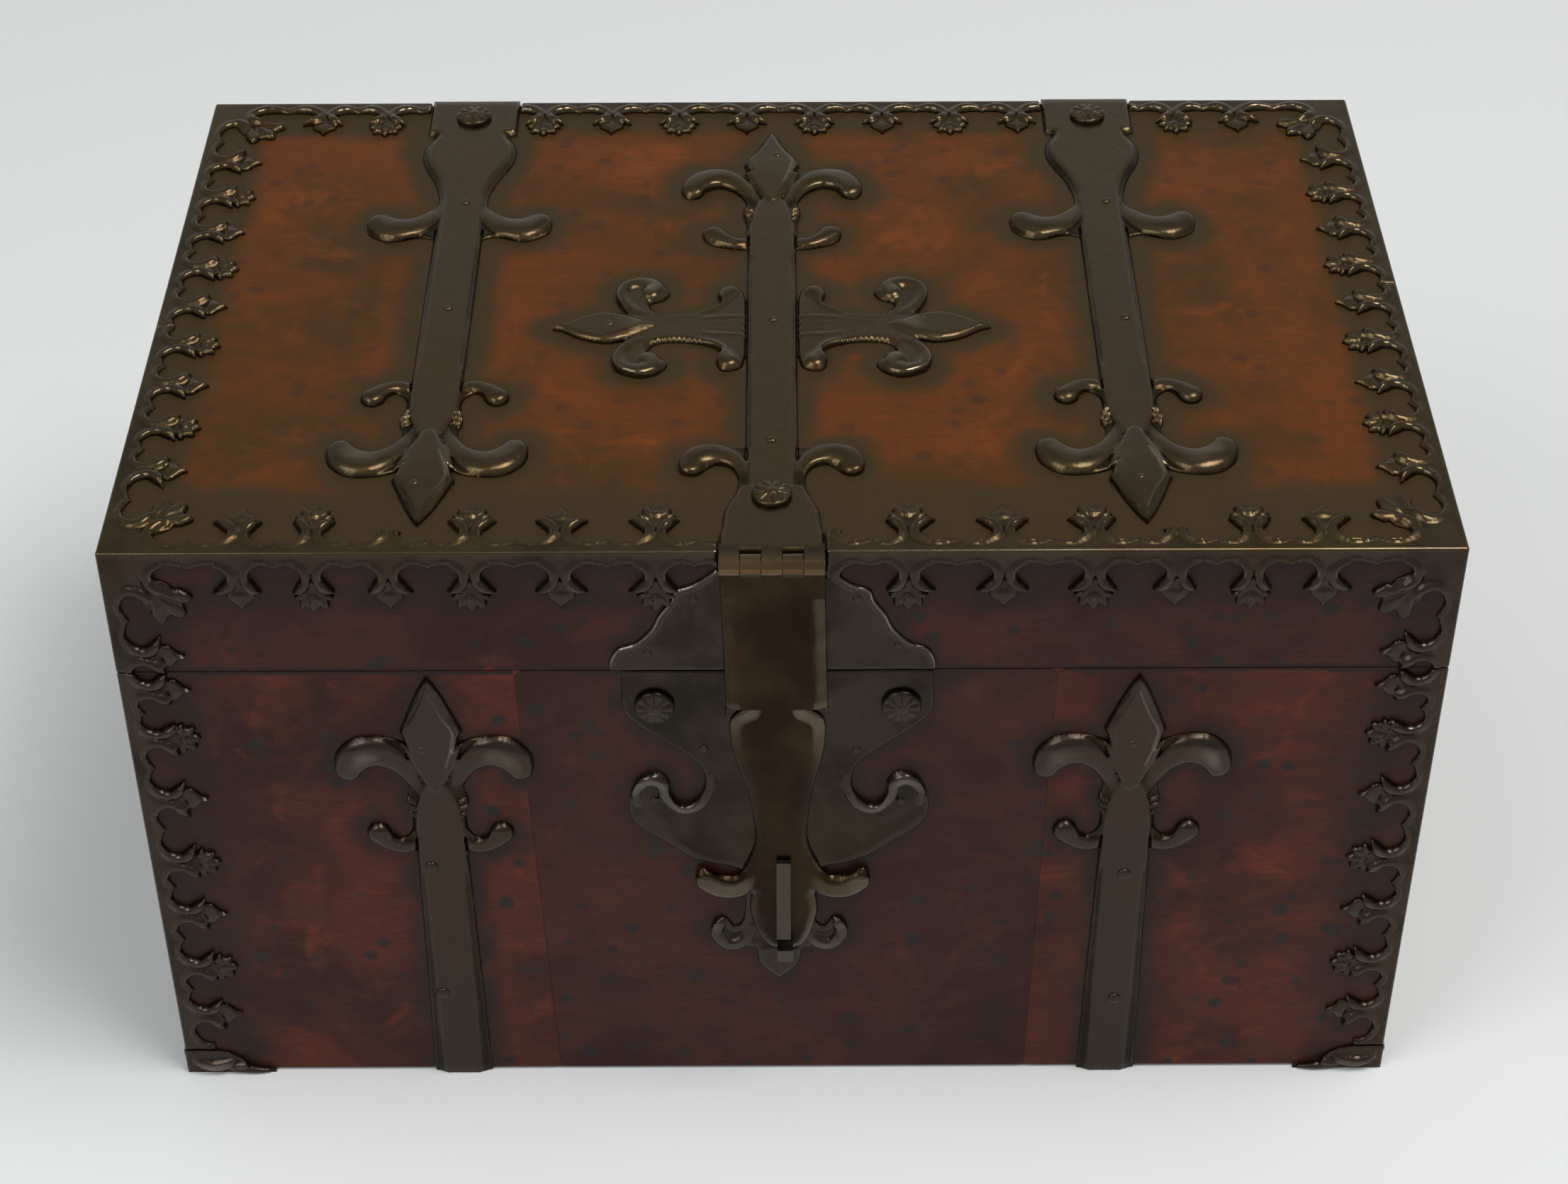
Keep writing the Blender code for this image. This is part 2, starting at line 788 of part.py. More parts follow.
def front_strap(side, name):
    """A strap up the front of the body, turned under its bottom edge."""
    half = fleur_half(BODY_TOP - FRONT_STRAP_TOP, -1)
    half.append((SHAFT_HALF + FRONT_STRAP_FLARE, 0))
    centre = side * STRAP_PLACE
    front = plate([shifted(mirrored(half), centre)], FRONT, SHEET_Y, SHEET_Y + STRAP)
    foot_half = SHAFT_HALF + FRONT_STRAP_FLARE - FIT_GAP
    low = (centre - foot_half, -SHEET_Y - STRAP / 2, 0)
    high = (centre + foot_half, -SHEET_Y + FRONT_STRAP_RETURN, SHEET)
    place("front_strap_" + name, joined(front, box(low, high)), "bronze")


def baluster_half(start, toward):
    """Half of a hinge head's swelling and arms, as (across, up)."""
    points = []
    for across, along in scaled(BALUSTER_SHARES, BALUSTER_REACH, BALUSTER_LENGTH):
        points.append((across, start + toward * along))
    points.append((SHAFT_HALF, start + toward * BALUSTER_LENGTH))
    return points


def knuckle_spans(width, count, first):
    """Spans along a barrel for every second knuckle, with room between neighbours."""
    step = width / count
    room = KNUCKLE_SIDE_GAP / 2
    lows = [-width / 2 + index * step for index in range(first, count, 2)]
    return [(low + room, low + step - room) for low in lows]


def knuckle(centre, outward, along, span, stop_angle=None):
    """A bored knuckle and the root that joins it to its leaf.

    The barrel lies outward from one face of the leaf, which runs off along the other way.
    """
    inner = -BARREL
    outer = STRAP - BARREL - 2 * KNUCKLE_INSET
    root = KNUCKLE_ROOM + KNUCKLE_ROOT
    start, end = -math.pi, math.acos(outer / BARREL)
    steps = ROUND_STEPS
    angles = [start + (end - start) * index / steps for index in range(steps + 1)]
    outline = [(outer, root), (inner, root)]
    tongue_done = stop_angle is None
    for angle in angles:
        if not tongue_done and angle > stop_angle:
            outline += stop_tongue(stop_angle)
            tongue_done = True
        near = stop_angle is not None and abs(angle - stop_angle) < 2 * STOP_HALF / BARREL
        if not near:
            outline.append((BARREL * math.cos(angle), BARREL * math.sin(angle)))
    sense = 1 if outward.cross(along).dot(X) > 0 else -1
    low, high = sorted((sense * span[0], sense * span[1]))
    frame = Matrix.Translation(centre) @ facing(outward, along)
    return plate([outline, ring((0, 0), PIN + PIN_FIT)], frame, low, high)


def stop_tongue(angle):
    """The four corners of a tongue standing out of a barrel at an angle."""
    half_turn = math.asin(STOP_HALF / BARREL)
    far_turn = math.asin(STOP_HALF / STOP_REACH)
    corners = ((BARREL, -half_turn), (STOP_REACH, -far_turn))
    corners += ((STOP_REACH, far_turn), (BARREL, half_turn))
    return [(r * math.cos(angle + turn), r * math.sin(angle + turn)) for r, turn in corners]


def lid_strap(side, name):
    """A hinge strap: over the lid's top, down its back and into two knuckles."""
    centre = side * STRAP_PLACE
    back_edge = SHEET_Y + STRAP
    front_tip = -BOX_DEPTH / 2 + LID_STRAP_END
    start = SHEET_Y - HEAD_LENGTH
    half = [(HEAD_HALF, back_edge), (HEAD_HALF, start)]
    half += baluster_half(start, -1)
    half += list(reversed(fleur_half(front_tip, 1)))
    top = plate([shifted(mirrored(half), centre)], TOP, SHEET_TOP, SHEET_TOP + STRAP)
    spans = knuckle_spans(2 * HEAD_HALF, LID_HINGE_KNUCKLES, 0)
    low = (centre - HEAD_HALF, SHEET_Y, JOINT + KNUCKLE_ROOM)
    back = box(low, (centre + HEAD_HALF, back_edge, SHEET_TOP + STRAP / 2))
    axis = Vector((centre, LID_AXIS_Y, JOINT))
    stop = LID_SWING - math.pi / 2
    knuckles = [knuckle(axis, Y, Z, span, stop) for span in spans]
    hole = shank_hole((centre, head_rosette_y(), 0), Z, SHEET_TOP)
    mesh = cut(joined(top, back, *knuckles), hole)
    place("lid_strap_" + name, mesh, "bronze")


def rear_leaf(side, name):
    """The fixed leaf of a lid hinge, down the back of the body, with the middle knuckle."""
    centre = side * STRAP_PLACE
    spans = knuckle_spans(2 * HEAD_HALF, LID_HINGE_KNUCKLES, 1)
    start = JOINT - HEAD_LENGTH
    tip = REAR_LEAF_TIP
    half = [(HEAD_HALF, JOINT - KNUCKLE_ROOM), (HEAD_HALF, start)]
    half += baluster_half(start, -1)
    length = start - BALUSTER_LENGTH - REAR_LEAF_SHAFT - tip
    half += list(reversed(fleur_half(tip, 1, length)))
    outline = shifted(mirrored(half), -centre)
    leaf = plate([outline], BACK, SHEET_Y, SHEET_Y + STRAP)
    axis = Vector((centre, LID_AXIS_Y, JOINT))
    knuckles = [knuckle(axis, Y, -Z, span) for span in spans]
    place("rear_leaf_" + name, joined(leaf, *knuckles), "bronze")
    pin = rod(axis, X, PIN, -HEAD_HALF, HEAD_HALF)
    place("lid_pin_" + name, pin, "steel", rounded=True)


def centre_strap():
    """The strap along the middle of the lid, with the hasp's fixed knuckles at its front."""
    back_tip = BOX_DEPTH / 2 - CENTRE_STRAP_START
    half = fleur_half(back_tip, -1)
    arms_start = -SHEET_Y
    half.append((SHAFT_HALF, arms_start + CENTRE_ARMS_START))
    for across, along in scaled(CENTRE_ARM_SHARES, CENTRE_ARMS_REACH, CENTRE_ARMS_START):
        half.append((across, arms_start + along))
    half.append((HASP_HALF, HASP_AXIS_Y + KNUCKLE_ROOM))
    outline = shifted(mirrored(half), CENTRE_PLACE)
    strap = plate([outline], TOP, SHEET_TOP, SHEET_TOP + STRAP)
    axis = Vector((CENTRE_PLACE, HASP_AXIS_Y, HASP_AXIS_Z))
    spans = knuckle_spans(2 * HASP_HALF, HASP_HINGE_KNUCKLES, 0)
    knuckles = [knuckle(axis, -Z, Y, span) for span in spans]
    hole = shank_hole(lid_rosette_places()[2], Z, SHEET_TOP)
    mesh = cut(joined(strap, *knuckles), hole)
    place("centre_strap", mesh, "bronze")
    pin = rod(axis, X, PIN, -HASP_HALF, HASP_HALF)
    place("hasp_pin", pin, "steel", rounded=True)


def cross_arms():
    """The two fleurs-de-lis that point to the sides from the middle of the lid."""
    row = BOX_DEPTH / 2 - CROSS_PLACE
    root = SHAFT_HALF + FIT_GAP
    upper = [(root, CROSS_REACH * CROSS_SHARES[0][1])]
    upper += [(a * CROSS_TIP, b * CROSS_REACH) for a, b in CROSS_SHARES]
    outline = upper + [(CROSS_TIP, 0)] + [(a, -b) for a, b in reversed(upper)]
    for side, name in ((-1, "left"), (1, "right")):
        drawn = [(CENTRE_PLACE + side * a, row + b) for a, b in outline]
        mesh = plate([drawn], TOP, SHEET_TOP, SHEET_TOP + STRAP)
        place("cross_arm_" + name, mesh, "bronze")


# Hasp


def leaning(half, top):
    """Both sides of the hasp from one, following its lean."""
    slope = HASP_LEAN / HASP_LENGTH
    down = [(across + (top - up) * slope, up) for across, up in half]
    back = [(-across + (top - up) * slope, up) for across, up in reversed(half)]
    return down, back


def hasp():
    """The hasp: knuckles, a plain plate, a baluster, two scrolled arms and a tail."""
    top = HASP_AXIS_Z
    spans = knuckle_spans(2 * HASP_HALF, HASP_HINGE_KNUCKLES, 1)
    half = [(HASP_HALF, top - KNUCKLE_ROOM), (HASP_HALF, top - HASP_PLATE_LENGTH)]
    half += [(a * HASP_HALF, top - b * HASP_LENGTH) for a, b in HASP_SHARES]
    half += [(a * HASP_WAIST, top - b * HASP_LENGTH) for a, b in HASP_WAIST_SHARES]
    half += [(a * HASP_ARM_REACH, top - b * HASP_LENGTH) for a, b in HASP_ARM_SHARES]
    right, left = leaning(half, top)
    outline = shifted(right + left, CENTRE_PLACE)
    leaf = plate([outline], FRONT, HASP_BACK, HASP_FRONT)
    axis = Vector((CENTRE_PLACE, HASP_AXIS_Y, HASP_AXIS_Z))
    mesh = joined(leaf, *[knuckle(axis, -Y, -Z, span) for span in spans])
    staple_low = (-STAPLE_HALF - FIT_GAP, -HASP_FRONT - OVERRUN, STAPLE_BOTTOM - FIT_GAP)
    staple_high = (
        STAPLE_HALF + FIT_GAP,
        -HASP_BACK + OVERRUN,
        STAPLE_BOTTOM + STAPLE_HEIGHT + FIT_GAP,
    )
    knob = rod(knob_place(), -Y, KNOB_SHANK + PIN_FIT, -OVERRUN, STRAP + OVERRUN)
    mesh = cut(mesh, box(staple_low, staple_high), knob)
    place("hasp", mesh, "dark_bronze", origin=axis)


def knob_place():
    across = CENTRE_PLACE + HASP_LEAN
    return (across, -HASP_BACK, HASP_AXIS_Z - HASP_LENGTH + KNOB_UP)


def hasp_staple():
    """The lug on the hasp's face and, through the hasp, the staple that the bolt holds."""
    face = HASP_FRONT + FIT_GAP
    lug = [
        (face, LUG_BOTTOM),
        (face + LUG_BOTTOM_RISE, LUG_BOTTOM),
        (face + LUG_TOP_RISE, LUG_TOP),
        (face, LUG_TOP),
    ]
    lug_plate = plate([[(-out, up) for out, up in lug]], RIGHT, -LUG_HALF, LUG_HALF)
    inner = HASP_BACK - STAPLE_DEPTH
    top = STAPLE_BOTTOM + STAPLE_HEIGHT
    low = (-STAPLE_HALF, -face - LUG_TOP_RISE / 2, STAPLE_BOTTOM)
    bar = box(low, (STAPLE_HALF, -inner, top))
    eye_bottom = STAPLE_BOTTOM + (STAPLE_HEIGHT - EYE_HEIGHT) / 2
    eye = box(
        (-STAPLE_HALF - OVERRUN, -inner - EYE_WALL - EYE_DEPTH, eye_bottom),
        (STAPLE_HALF + OVERRUN, -inner - EYE_WALL, eye_bottom + EYE_HEIGHT),
    )
    axis = (CENTRE_PLACE, HASP_AXIS_Y, HASP_AXIS_Z)
    place("hasp_staple", cut(joined(lug_plate, bar), eye), "dark_bronze", origin=axis)


def hasp_knob():
    """The small square knob riveted through the tip of the hasp."""
    x, _, z = knob_place()
    face = HASP_FRONT + FIT_GAP
    head = box(
        (x - KNOB_HALF, -face - KNOB_RISE, z - KNOB_HALF), (x + KNOB_HALF, -face, z + KNOB_HALF)
    )
    shank = rod((x, 0, z), -Y, KNOB_SHANK, HASP_BACK, face + KNOB_RISE / 2)
    axis = (CENTRE_PLACE, HASP_AXIS_Y, HASP_AXIS_Z)
    place("hasp_knob", joined(head, shank), "dark_bronze", origin=axis)


# Lock


def striker_plate():
    half = scaled(STRIKER_SHARES, STRIKER_HALF, STRIKER_HEIGHT)
    half = [(STRIKER_HALF, 0)] + half
    outline = shifted(mirrored(half), STRIKER_PLACE, LID_BOTTOM)
    place("striker_plate", plate([outline], FRONT, SHEET_Y, SHEET_Y + SHEET), "bronze")


def ring(centre, radius, steps=ROUND_STEPS):
    """Points round a circle."""
    turn = 2 * math.pi / steps
    return [
        (centre[0] + radius * math.cos(i * turn), centre[1] + radius * math.sin(i * turn))
        for i in range(steps)
    ]


def keyhole():
    """A round hole with a slit below it."""
    drop = math.sqrt(KEY_HOLE**2 - KEY_SLIT_HALF**2)
    slit_turn = math.asin(KEY_SLIT_HALF / KEY_HOLE)
    start = -math.pi / 2 + slit_turn
    sweep = 2 * (math.pi - slit_turn)
    steps = ROUND_STEPS // 2
    points = []
    for index in range(steps + 1):
        angle = start + sweep * index / steps
        points.append((KEY_HOLE * math.cos(angle), KEY_HOLE * math.sin(angle)))
    points += [(-KEY_SLIT_HALF, -drop - KEY_SLIT_DROP), (KEY_SLIT_HALF, -drop - KEY_SLIT_DROP)]
    return shifted(points, KEY_PLACE, KEY_UP)


def lock_plate():
    """The plate that fronts the lock, with the staple's slot, the keyhole and bolt holes."""
    bottom = BODY_TOP - LOCK_PLATE_HEIGHT
    half = scaled(LOCK_SHARES, LOCK_HALF, LOCK_PLATE_HEIGHT) + [(0, 0)]
    outline = shifted(mirrored(half), LOCK_PLACE, bottom)
    slot = [
        (-SLOT_HALF, SLOT_BOTTOM),
        (SLOT_HALF, SLOT_BOTTOM),
        (SLOT_HALF, SLOT_TOP),
        (-SLOT_HALF, SLOT_TOP),
    ]
    loops = [outline, slot, keyhole()]
    for side in (-1, 1):
        centre = (LOCK_PLACE + side * LOCK_ROSETTE_SPREAD, LOCK_ROSETTE_UP)
        loops.append(ring(centre, ROSETTE_SHANK + PIN_FIT))
    place("lock_plate", plate(loops, FRONT, SHEET_Y, SHEET_Y + SHEET), "bronze")


def lock_case():
    """A shallow tray let into the front board behind the lock plate."""
    rim = SHEET_Y - FIT_GAP
    back = SHEET_Y - LOCK_CASE_DEPTH
    low = (-LOCK_CASE_HALF, -rim, LOCK_CASE_BOTTOM)
    high = (LOCK_CASE_HALF, -back, LOCK_CASE_TOP)
    inner_low = (low[0] + CASE_WALL, low[1] - OVERRUN, low[2] + CASE_WALL)
    inner_high = (high[0] - CASE_WALL, high[1] - CASE_WALL, high[2] - CASE_WALL)
    place("lock_case", cut(box(low, high), box(inner_low, inner_high)), "steel")


def lock_bolt():
    """The bolt, drawn back: a head beside the staple's eye, a link and a tall tail."""
    middle = STAPLE_BOTTOM + STAPLE_HEIGHT / 2
    head_half = EYE_HEIGHT / 2 - BOLT_FIT
    tip = STAPLE_HALF + BOLT_ROOM
    right = LOCK_CASE_HALF - CASE_WALL - BOLT_FIT
    link = right - BOLT_LINK
    left = right - BOLT_WIDTH
    foot = STAPLE_BOTTOM + STAPLE_HEIGHT + BOLT_ROOM
    top = LOCK_CASE_TOP - CASE_WALL - BOLT_FIT
    outline = [
        (tip, middle - head_half),
        (right, middle - head_half),
        (right, top),
        (left, top),
        (left, KEY_UP + TALON_HALF),
        (left + TALON_DEPTH, KEY_UP + TALON_HALF),
        (left + TALON_DEPTH, KEY_UP - TALON_HALF),
        (left, KEY_UP - TALON_HALF),
        (left, foot),
        (link, foot),
        (link, middle + head_half),
        (tip, middle + head_half),
    ]
    mesh = plate([outline], FRONT, BOLT_BACK, BOLT_FRONT)
    place("lock_bolt", mesh, "steel", origin=(right, -BOLT_BACK, middle))


def case_pin(name, across, up, radius, front):
    back = SHEET_Y - LOCK_CASE_DEPTH + CASE_WALL + FIT_GAP
    mesh = rod((across, 0, up), -Y, radius, back, front)
    place(name, mesh, "steel", rounded=True)


# Rosette bolts


def head_rosette_y():
    return BOX_DEPTH / 2 - HEAD_LENGTH * HEAD_ROSETTE_SHARE


def lid_rosette_places():
    """Where the three bolts of the lid stand, left, right and middle."""
    row = head_rosette_y()
    return (
        (-STRAP_PLACE, row, 0),
        (STRAP_PLACE, row, 0),
        (CENTRE_PLACE, -BOX_DEPTH / 2 + CENTRE_ROSETTE_BACK, 0),
    )


def rosette(name, centre, outward, level):
    """A domed bolt head with its shank, turned about its own line."""
    face = level + FIT_GAP
    dome = scaled(ROSETTE_DOME_SHARES, ROSETTE, ROSETTE_RISE)
    profile = [(across, face + up) for across, up in dome]
    profile += [
        (ROSETTE, face + ROSETTE_RIM),
        (ROSETTE, face),
        (ROSETTE_SHANK, face),
        (ROSETTE_SHANK, level - ROSETTE_SHANK_LENGTH),
        (0, level - ROSETTE_SHANK_LENGTH),
    ]
    turn = Z.rotation_difference(outward).to_matrix().to_4x4()
    mesh = bpy.data.meshes.new(name)
    points = [(across, 0, up) for across, up in profile]
    mesh.from_pydata(points, [(i, i + 1) for i in range(len(points) - 1)], [])
    work = bpy.data.objects.new("work", mesh)
    bpy.context.scene.collection.objects.link(work)
    screw = work.modifiers.new("turn", "SCREW")
    screw.steps = ROUND_STEPS
    screw.render_steps = ROUND_STEPS
    screw.use_merge_vertices = True
    screw.merge_threshold = FIT_GAP / ROUND_STEPS
    bpy.context.view_layer.update()
    graph = bpy.context.evaluated_depsgraph_get()
    solid = bpy.data.meshes.new_from_object(work.evaluated_get(graph))
    bpy.data.objects.remove(work)
    solid.transform(Matrix.Translation(centre) @ turn)
    place(name, cleaned(solid), "bronze", rounded=True)


def rosettes():
    names = ("lid_rosette_left", "lid_rosette_right", "lid_rosette_middle")
    for name, centre in zip(names, lid_rosette_places()):
        rosette(name, centre, Z, SHEET_TOP + STRAP)
    for side, name in ((-1, "lock_rosette_left"), (1, "lock_rosette_right")):
        centre = (LOCK_PLACE + side * LOCK_ROSETTE_SPREAD, 0, LOCK_ROSETTE_UP)
        rosette(name, centre, -Y, SHEET_Y + SHEET)


# Carrying handles


def handle_mount(side, name):
    """A shaped plate on the end board with two bored posts."""
    face = RIGHT if side > 0 else LEFT
    quarter = scaled(HANDLE_PLATE_SHARES, HANDLE_PLATE_HALF, HANDLE_PLATE_RISE)
    upper = quarter + [(-a, b) for a, b in reversed(quarter[:-1])]
    outline = shifted(upper + [(a, -b) for a, b in reversed(upper[1:-1])], 0, HANDLE_UP)
    mesh = plate([outline], face, SHEET_X, SHEET_X + STRAP)
    posts, bores = [], []
    for end in (-1, 1):
        near = HANDLE_SPAN_HALF - POST_LENGTH / 2
        far = HANDLE_SPAN_HALF + POST_LENGTH / 2
        low_y, high_y = sorted((end * near, end * far))
        low_x, high_x = sorted((side * (SHEET_X + STRAP / 2), side * HANDLE_AXIS_X))
        low = (low_x, low_y, HANDLE_UP - POST_HALF)
        posts.append(box(low, (high_x, high_y, HANDLE_UP + POST_HALF)))
        centre = (side * HANDLE_AXIS_X, 0, HANDLE_UP)
        posts.append(rod(centre, Y, POST_HALF + PIN_FIT, low_y, high_y))
        bore_radius = HANDLE_PIN + PIN_FIT
        bores.append(rod(centre, Y, bore_radius, low_y - OVERRUN, high_y + OVERRUN))
    place("handle_mount_" + name, cut(joined(mesh, *posts), *bores), "bronze")


def handle_path():
    """Half of the bail's line, from the post to the middle of the grip, as (along, drop)."""
    straight = HANDLE_SPAN_HALF - POST_LENGTH / 2 - FIT_GAP - HANDLE_WIRE
    points = [(straight, 0)]
    centre = (straight - HANDLE_BEND, HANDLE_DROP - HANDLE_BEND)
    for step in range(HANDLE_BEND_STEPS + 1):
        angle = math.pi / 2 * step / HANDLE_BEND_STEPS
        across = centre[0] + HANDLE_BEND * math.cos(angle)
        points.append((across, centre[1] + HANDLE_BEND * math.sin(angle)))
    return points


def bail(side, name):
    """The swinging handle, with a pin at each end for its post."""
    axis = Vector((side * HANDLE_AXIS_X, 0, HANDLE_UP))
    half = handle_path()
    line = half + [(-a, b) for a, b in reversed(half)]
    curve = bpy.data.curves.new("bail", "CURVE")
    curve.dimensions = "3D"
    curve.bevel_depth = HANDLE_WIRE
    curve.bevel_resolution = HANDLE_ROUND_STEPS
    curve.use_fill_caps = True
    spline = curve.splines.new("POLY")
    spline.points.add(len(line) - 1)
    for point, (along, drop) in zip(spline.points, line):
        point.co = (axis.x, along, axis.z - drop, 1)
    grip = cleaned(evaluated(curve))
    ends = []
    reach = HANDLE_SPAN_HALF + POST_LENGTH / 2
    inner = HANDLE_SPAN_HALF - POST_LENGTH / 2 - FIT_GAP - HANDLE_WIRE
    for end in (-1, 1):
        low, high = sorted((end * inner, end * reach))
        ends.append(rod(axis, Y, HANDLE_PIN, low, high))
        tip_low, tip_high = sorted((end * (inner - HANDLE_WIRE), end * (inner + HANDLE_WIRE)))
        ends.append(rod(axis, Y, HANDLE_WIRE + PIN_FIT, tip_low, tip_high))
    place("bail_" + name, joined(grip, *ends), "bronze", origin=axis, rounded=True)


def build():
    four_boards("body", WOOD_BOTTOM, BODY_TOP, "veneer")
    bottom_board()
    four_boards("lid", LID_BOTTOM, WOOD_TOP - LID_LIP - FIT_GAP, "veneer")
    lid_panel()
    lid_borders()
    corner_bindings()
    feet()
    for side, name in ((-1, "left"), (1, "right")):
        front_strap(side, name)
        lid_strap(side, name)
        rear_leaf(side, name)
        handle_mount(side, name)
        bail(side, name)
    centre_strap()
    cross_arms()
    hasp()
    hasp_staple()
    hasp_knob()
    striker_plate()
    lock_plate()
    lock_case()
    lock_bolt()
    case_pin("key_post", KEY_PLACE, KEY_UP, KEY_POST, SHEET_Y - FIT_GAP)
    rosettes()


clear_scene()
PARTS = bpy.data.collections.new("strongbox")
bpy.context.scene.collection.children.link(PARTS)
MATERIALS = {name: new_material(name) for name in COLOURS}
build()
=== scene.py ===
# %% [markdown]
# # A veneered strongbox bound in bronze
#
# The box on the photograph is a wooden chest, veneered and polished, and bound in thin bronze.
# Nearly everything that catches the eye is low relief: rolled scrolls round pierced openings,
# fleurs-de-lis, bevelled straps. The frame gives the joints and the plain solids. This lesson
# lays the relief, the veneer and the finishes over them.

import math

import bmesh
import bpy
import numpy as np
from mathutils import Matrix, Vector


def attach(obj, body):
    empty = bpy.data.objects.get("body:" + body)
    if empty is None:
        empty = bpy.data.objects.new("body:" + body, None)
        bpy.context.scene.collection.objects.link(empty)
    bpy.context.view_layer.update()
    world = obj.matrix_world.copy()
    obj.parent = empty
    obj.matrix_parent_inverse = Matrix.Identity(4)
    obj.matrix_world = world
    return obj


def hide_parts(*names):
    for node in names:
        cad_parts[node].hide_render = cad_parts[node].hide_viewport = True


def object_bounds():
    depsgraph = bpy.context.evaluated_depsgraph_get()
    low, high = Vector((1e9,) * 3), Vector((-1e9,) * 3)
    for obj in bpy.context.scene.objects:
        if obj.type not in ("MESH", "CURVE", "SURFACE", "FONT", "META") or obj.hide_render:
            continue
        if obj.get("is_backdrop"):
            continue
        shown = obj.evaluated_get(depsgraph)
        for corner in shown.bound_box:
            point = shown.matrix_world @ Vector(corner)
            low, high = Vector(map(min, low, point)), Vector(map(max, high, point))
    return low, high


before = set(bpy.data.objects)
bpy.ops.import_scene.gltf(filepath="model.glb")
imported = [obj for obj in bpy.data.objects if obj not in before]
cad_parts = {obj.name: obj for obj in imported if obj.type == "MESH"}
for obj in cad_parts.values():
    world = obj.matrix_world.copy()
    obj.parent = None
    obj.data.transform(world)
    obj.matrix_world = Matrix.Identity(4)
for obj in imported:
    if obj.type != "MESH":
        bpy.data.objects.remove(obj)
cad_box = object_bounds()
MM = 0.001
print("nodes in the frame:", len(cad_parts))

# %% [markdown]
# ## Camera
#
# The photograph was taken from in front and above with a long lens. Its place was solved from
# the corners of the box, so the render can be laid over the photograph.

# %% Camera
FOCAL, PHOTO_WIDTH, SENSOR = 4397.9, 2212, 36
EYE = Vector((0.0004, -0.9616, 0.9055))
AZIMUTH, DOWN, ROLL = 0.00018, 0.68617, -0.0039


def put_in_scene(name, data):
    """An object that shows a mesh, a lamp or a camera."""
    obj = bpy.data.objects.new(name, data)
    bpy.context.scene.collection.objects.link(obj)
    return obj


forward = Vector((math.sin(AZIMUTH) * math.cos(DOWN), math.cos(DOWN), -math.sin(DOWN)))
level = Vector((math.cos(AZIMUTH), -math.sin(AZIMUTH), 0))
upward = level.cross(forward)
right = math.cos(ROLL) * level + math.sin(ROLL) * upward
above = -math.sin(ROLL) * level + math.cos(ROLL) * upward
camera_data = bpy.data.cameras.new("camera")
camera_data.lens = FOCAL / PHOTO_WIDTH * SENSOR
camera_data.sensor_width = SENSOR
camera = put_in_scene("camera", camera_data)
camera.matrix_world = Matrix.Translation(EYE) @ Matrix((right, above, -forward)).transposed().to_4x4()
bpy.context.scene.camera = camera
bpy.context.scene.view_settings.view_transform = "Standard"
print("lens", round(camera_data.lens, 1), "mm")

# %% [markdown]
# ## Node helpers
#
# A material here is a short chain of nodes. These helpers make one node and give its output, so
# that a chain reads like a sentence.


# %% Node helpers
def new_material(name):
    """An empty material, its node tree and its shader."""
    material = bpy.data.materials.new(name)
    material.use_nodes = True
    return material, material.node_tree, material.node_tree.nodes["Principled BSDF"]


def link(tree, value, socket):
    """Puts a number, a vector, a colour or another node's output into a socket."""
    if isinstance(value, bpy.types.NodeSocket):
        tree.links.new(value, socket)
    elif socket.type == "RGBA":
        socket.default_value = (*value, 1)
    else:
        socket.default_value = value


def made(tree, kind, inputs):
    """A new node, with what goes into its sockets."""
    node = tree.nodes.new("ShaderNode" + kind)
    for name, value in inputs.items():
        link(tree, value, node.inputs[name])
    return node


def object_place(tree, scale=(1, 1, 1), turn=(0, 0, 0), shift=(0, 0, 0)):
    """Object coordinates, in metres, through a Mapping node."""
    source = made(tree, "TexCoord", {}).outputs["Object"]
    inputs = {"Vector": source, "Scale": scale, "Rotation": turn, "Location": shift}
    return made(tree, "Mapping", inputs).outputs["Vector"]


def noise(tree, place, scale, detail=3.0, rough=0.55, twist=0.0):
    inputs = {"Vector": place, "Scale": scale, "Detail": detail, "Roughness": rough, "Distortion": twist}
    return made(tree, "TexNoise", inputs).outputs["Fac"]


def spots(tree, place, scale):
    """Distance to the nearest of many scattered points."""
    return made(tree, "TexVoronoi", {"Vector": place, "Scale": scale}).outputs["Distance"]


def attribute(tree, name):
    node = made(tree, "Attribute", {})
    node.attribute_name = name
    return node.outputs["Fac"]


def spread(tree, value, low, high, out_low=0.0, out_high=1.0):
    """A value's range moved to another range, and held there."""
    node = made(tree, "MapRange", {"Value": value, "From Min": low, "From Max": high,
                                   "To Min": out_low, "To Max": out_high})
    node.interpolation_type = "SMOOTHSTEP"
    return node.outputs["Result"]


def sums(tree, operation, first, second):
    node = made(tree, "Math", {0: first, 1: second})
    node.operation = operation
    return node.outputs[0]


def blended(tree, share, first, second, kind="MIX"):
    """Two colours mixed by a share."""
    node = tree.nodes.new("ShaderNodeMix")
    node.data_type = "RGBA"
    node.blend_type = kind
    node.clamp_factor = True
    link(tree, share, node.inputs["Factor"])
    link(tree, first, node.inputs["A"])
    link(tree, second, node.inputs["B"])
    return node.outputs["Result"]


def bumped(tree, shader, height, depth=0.0003):
    """A bump of a real depth in metres."""
    node = made(tree, "Bump", {"Strength": 1.0, "Distance": depth, "Height": height})
    tree.links.new(node.outputs["Normal"], shader.inputs["Normal"])


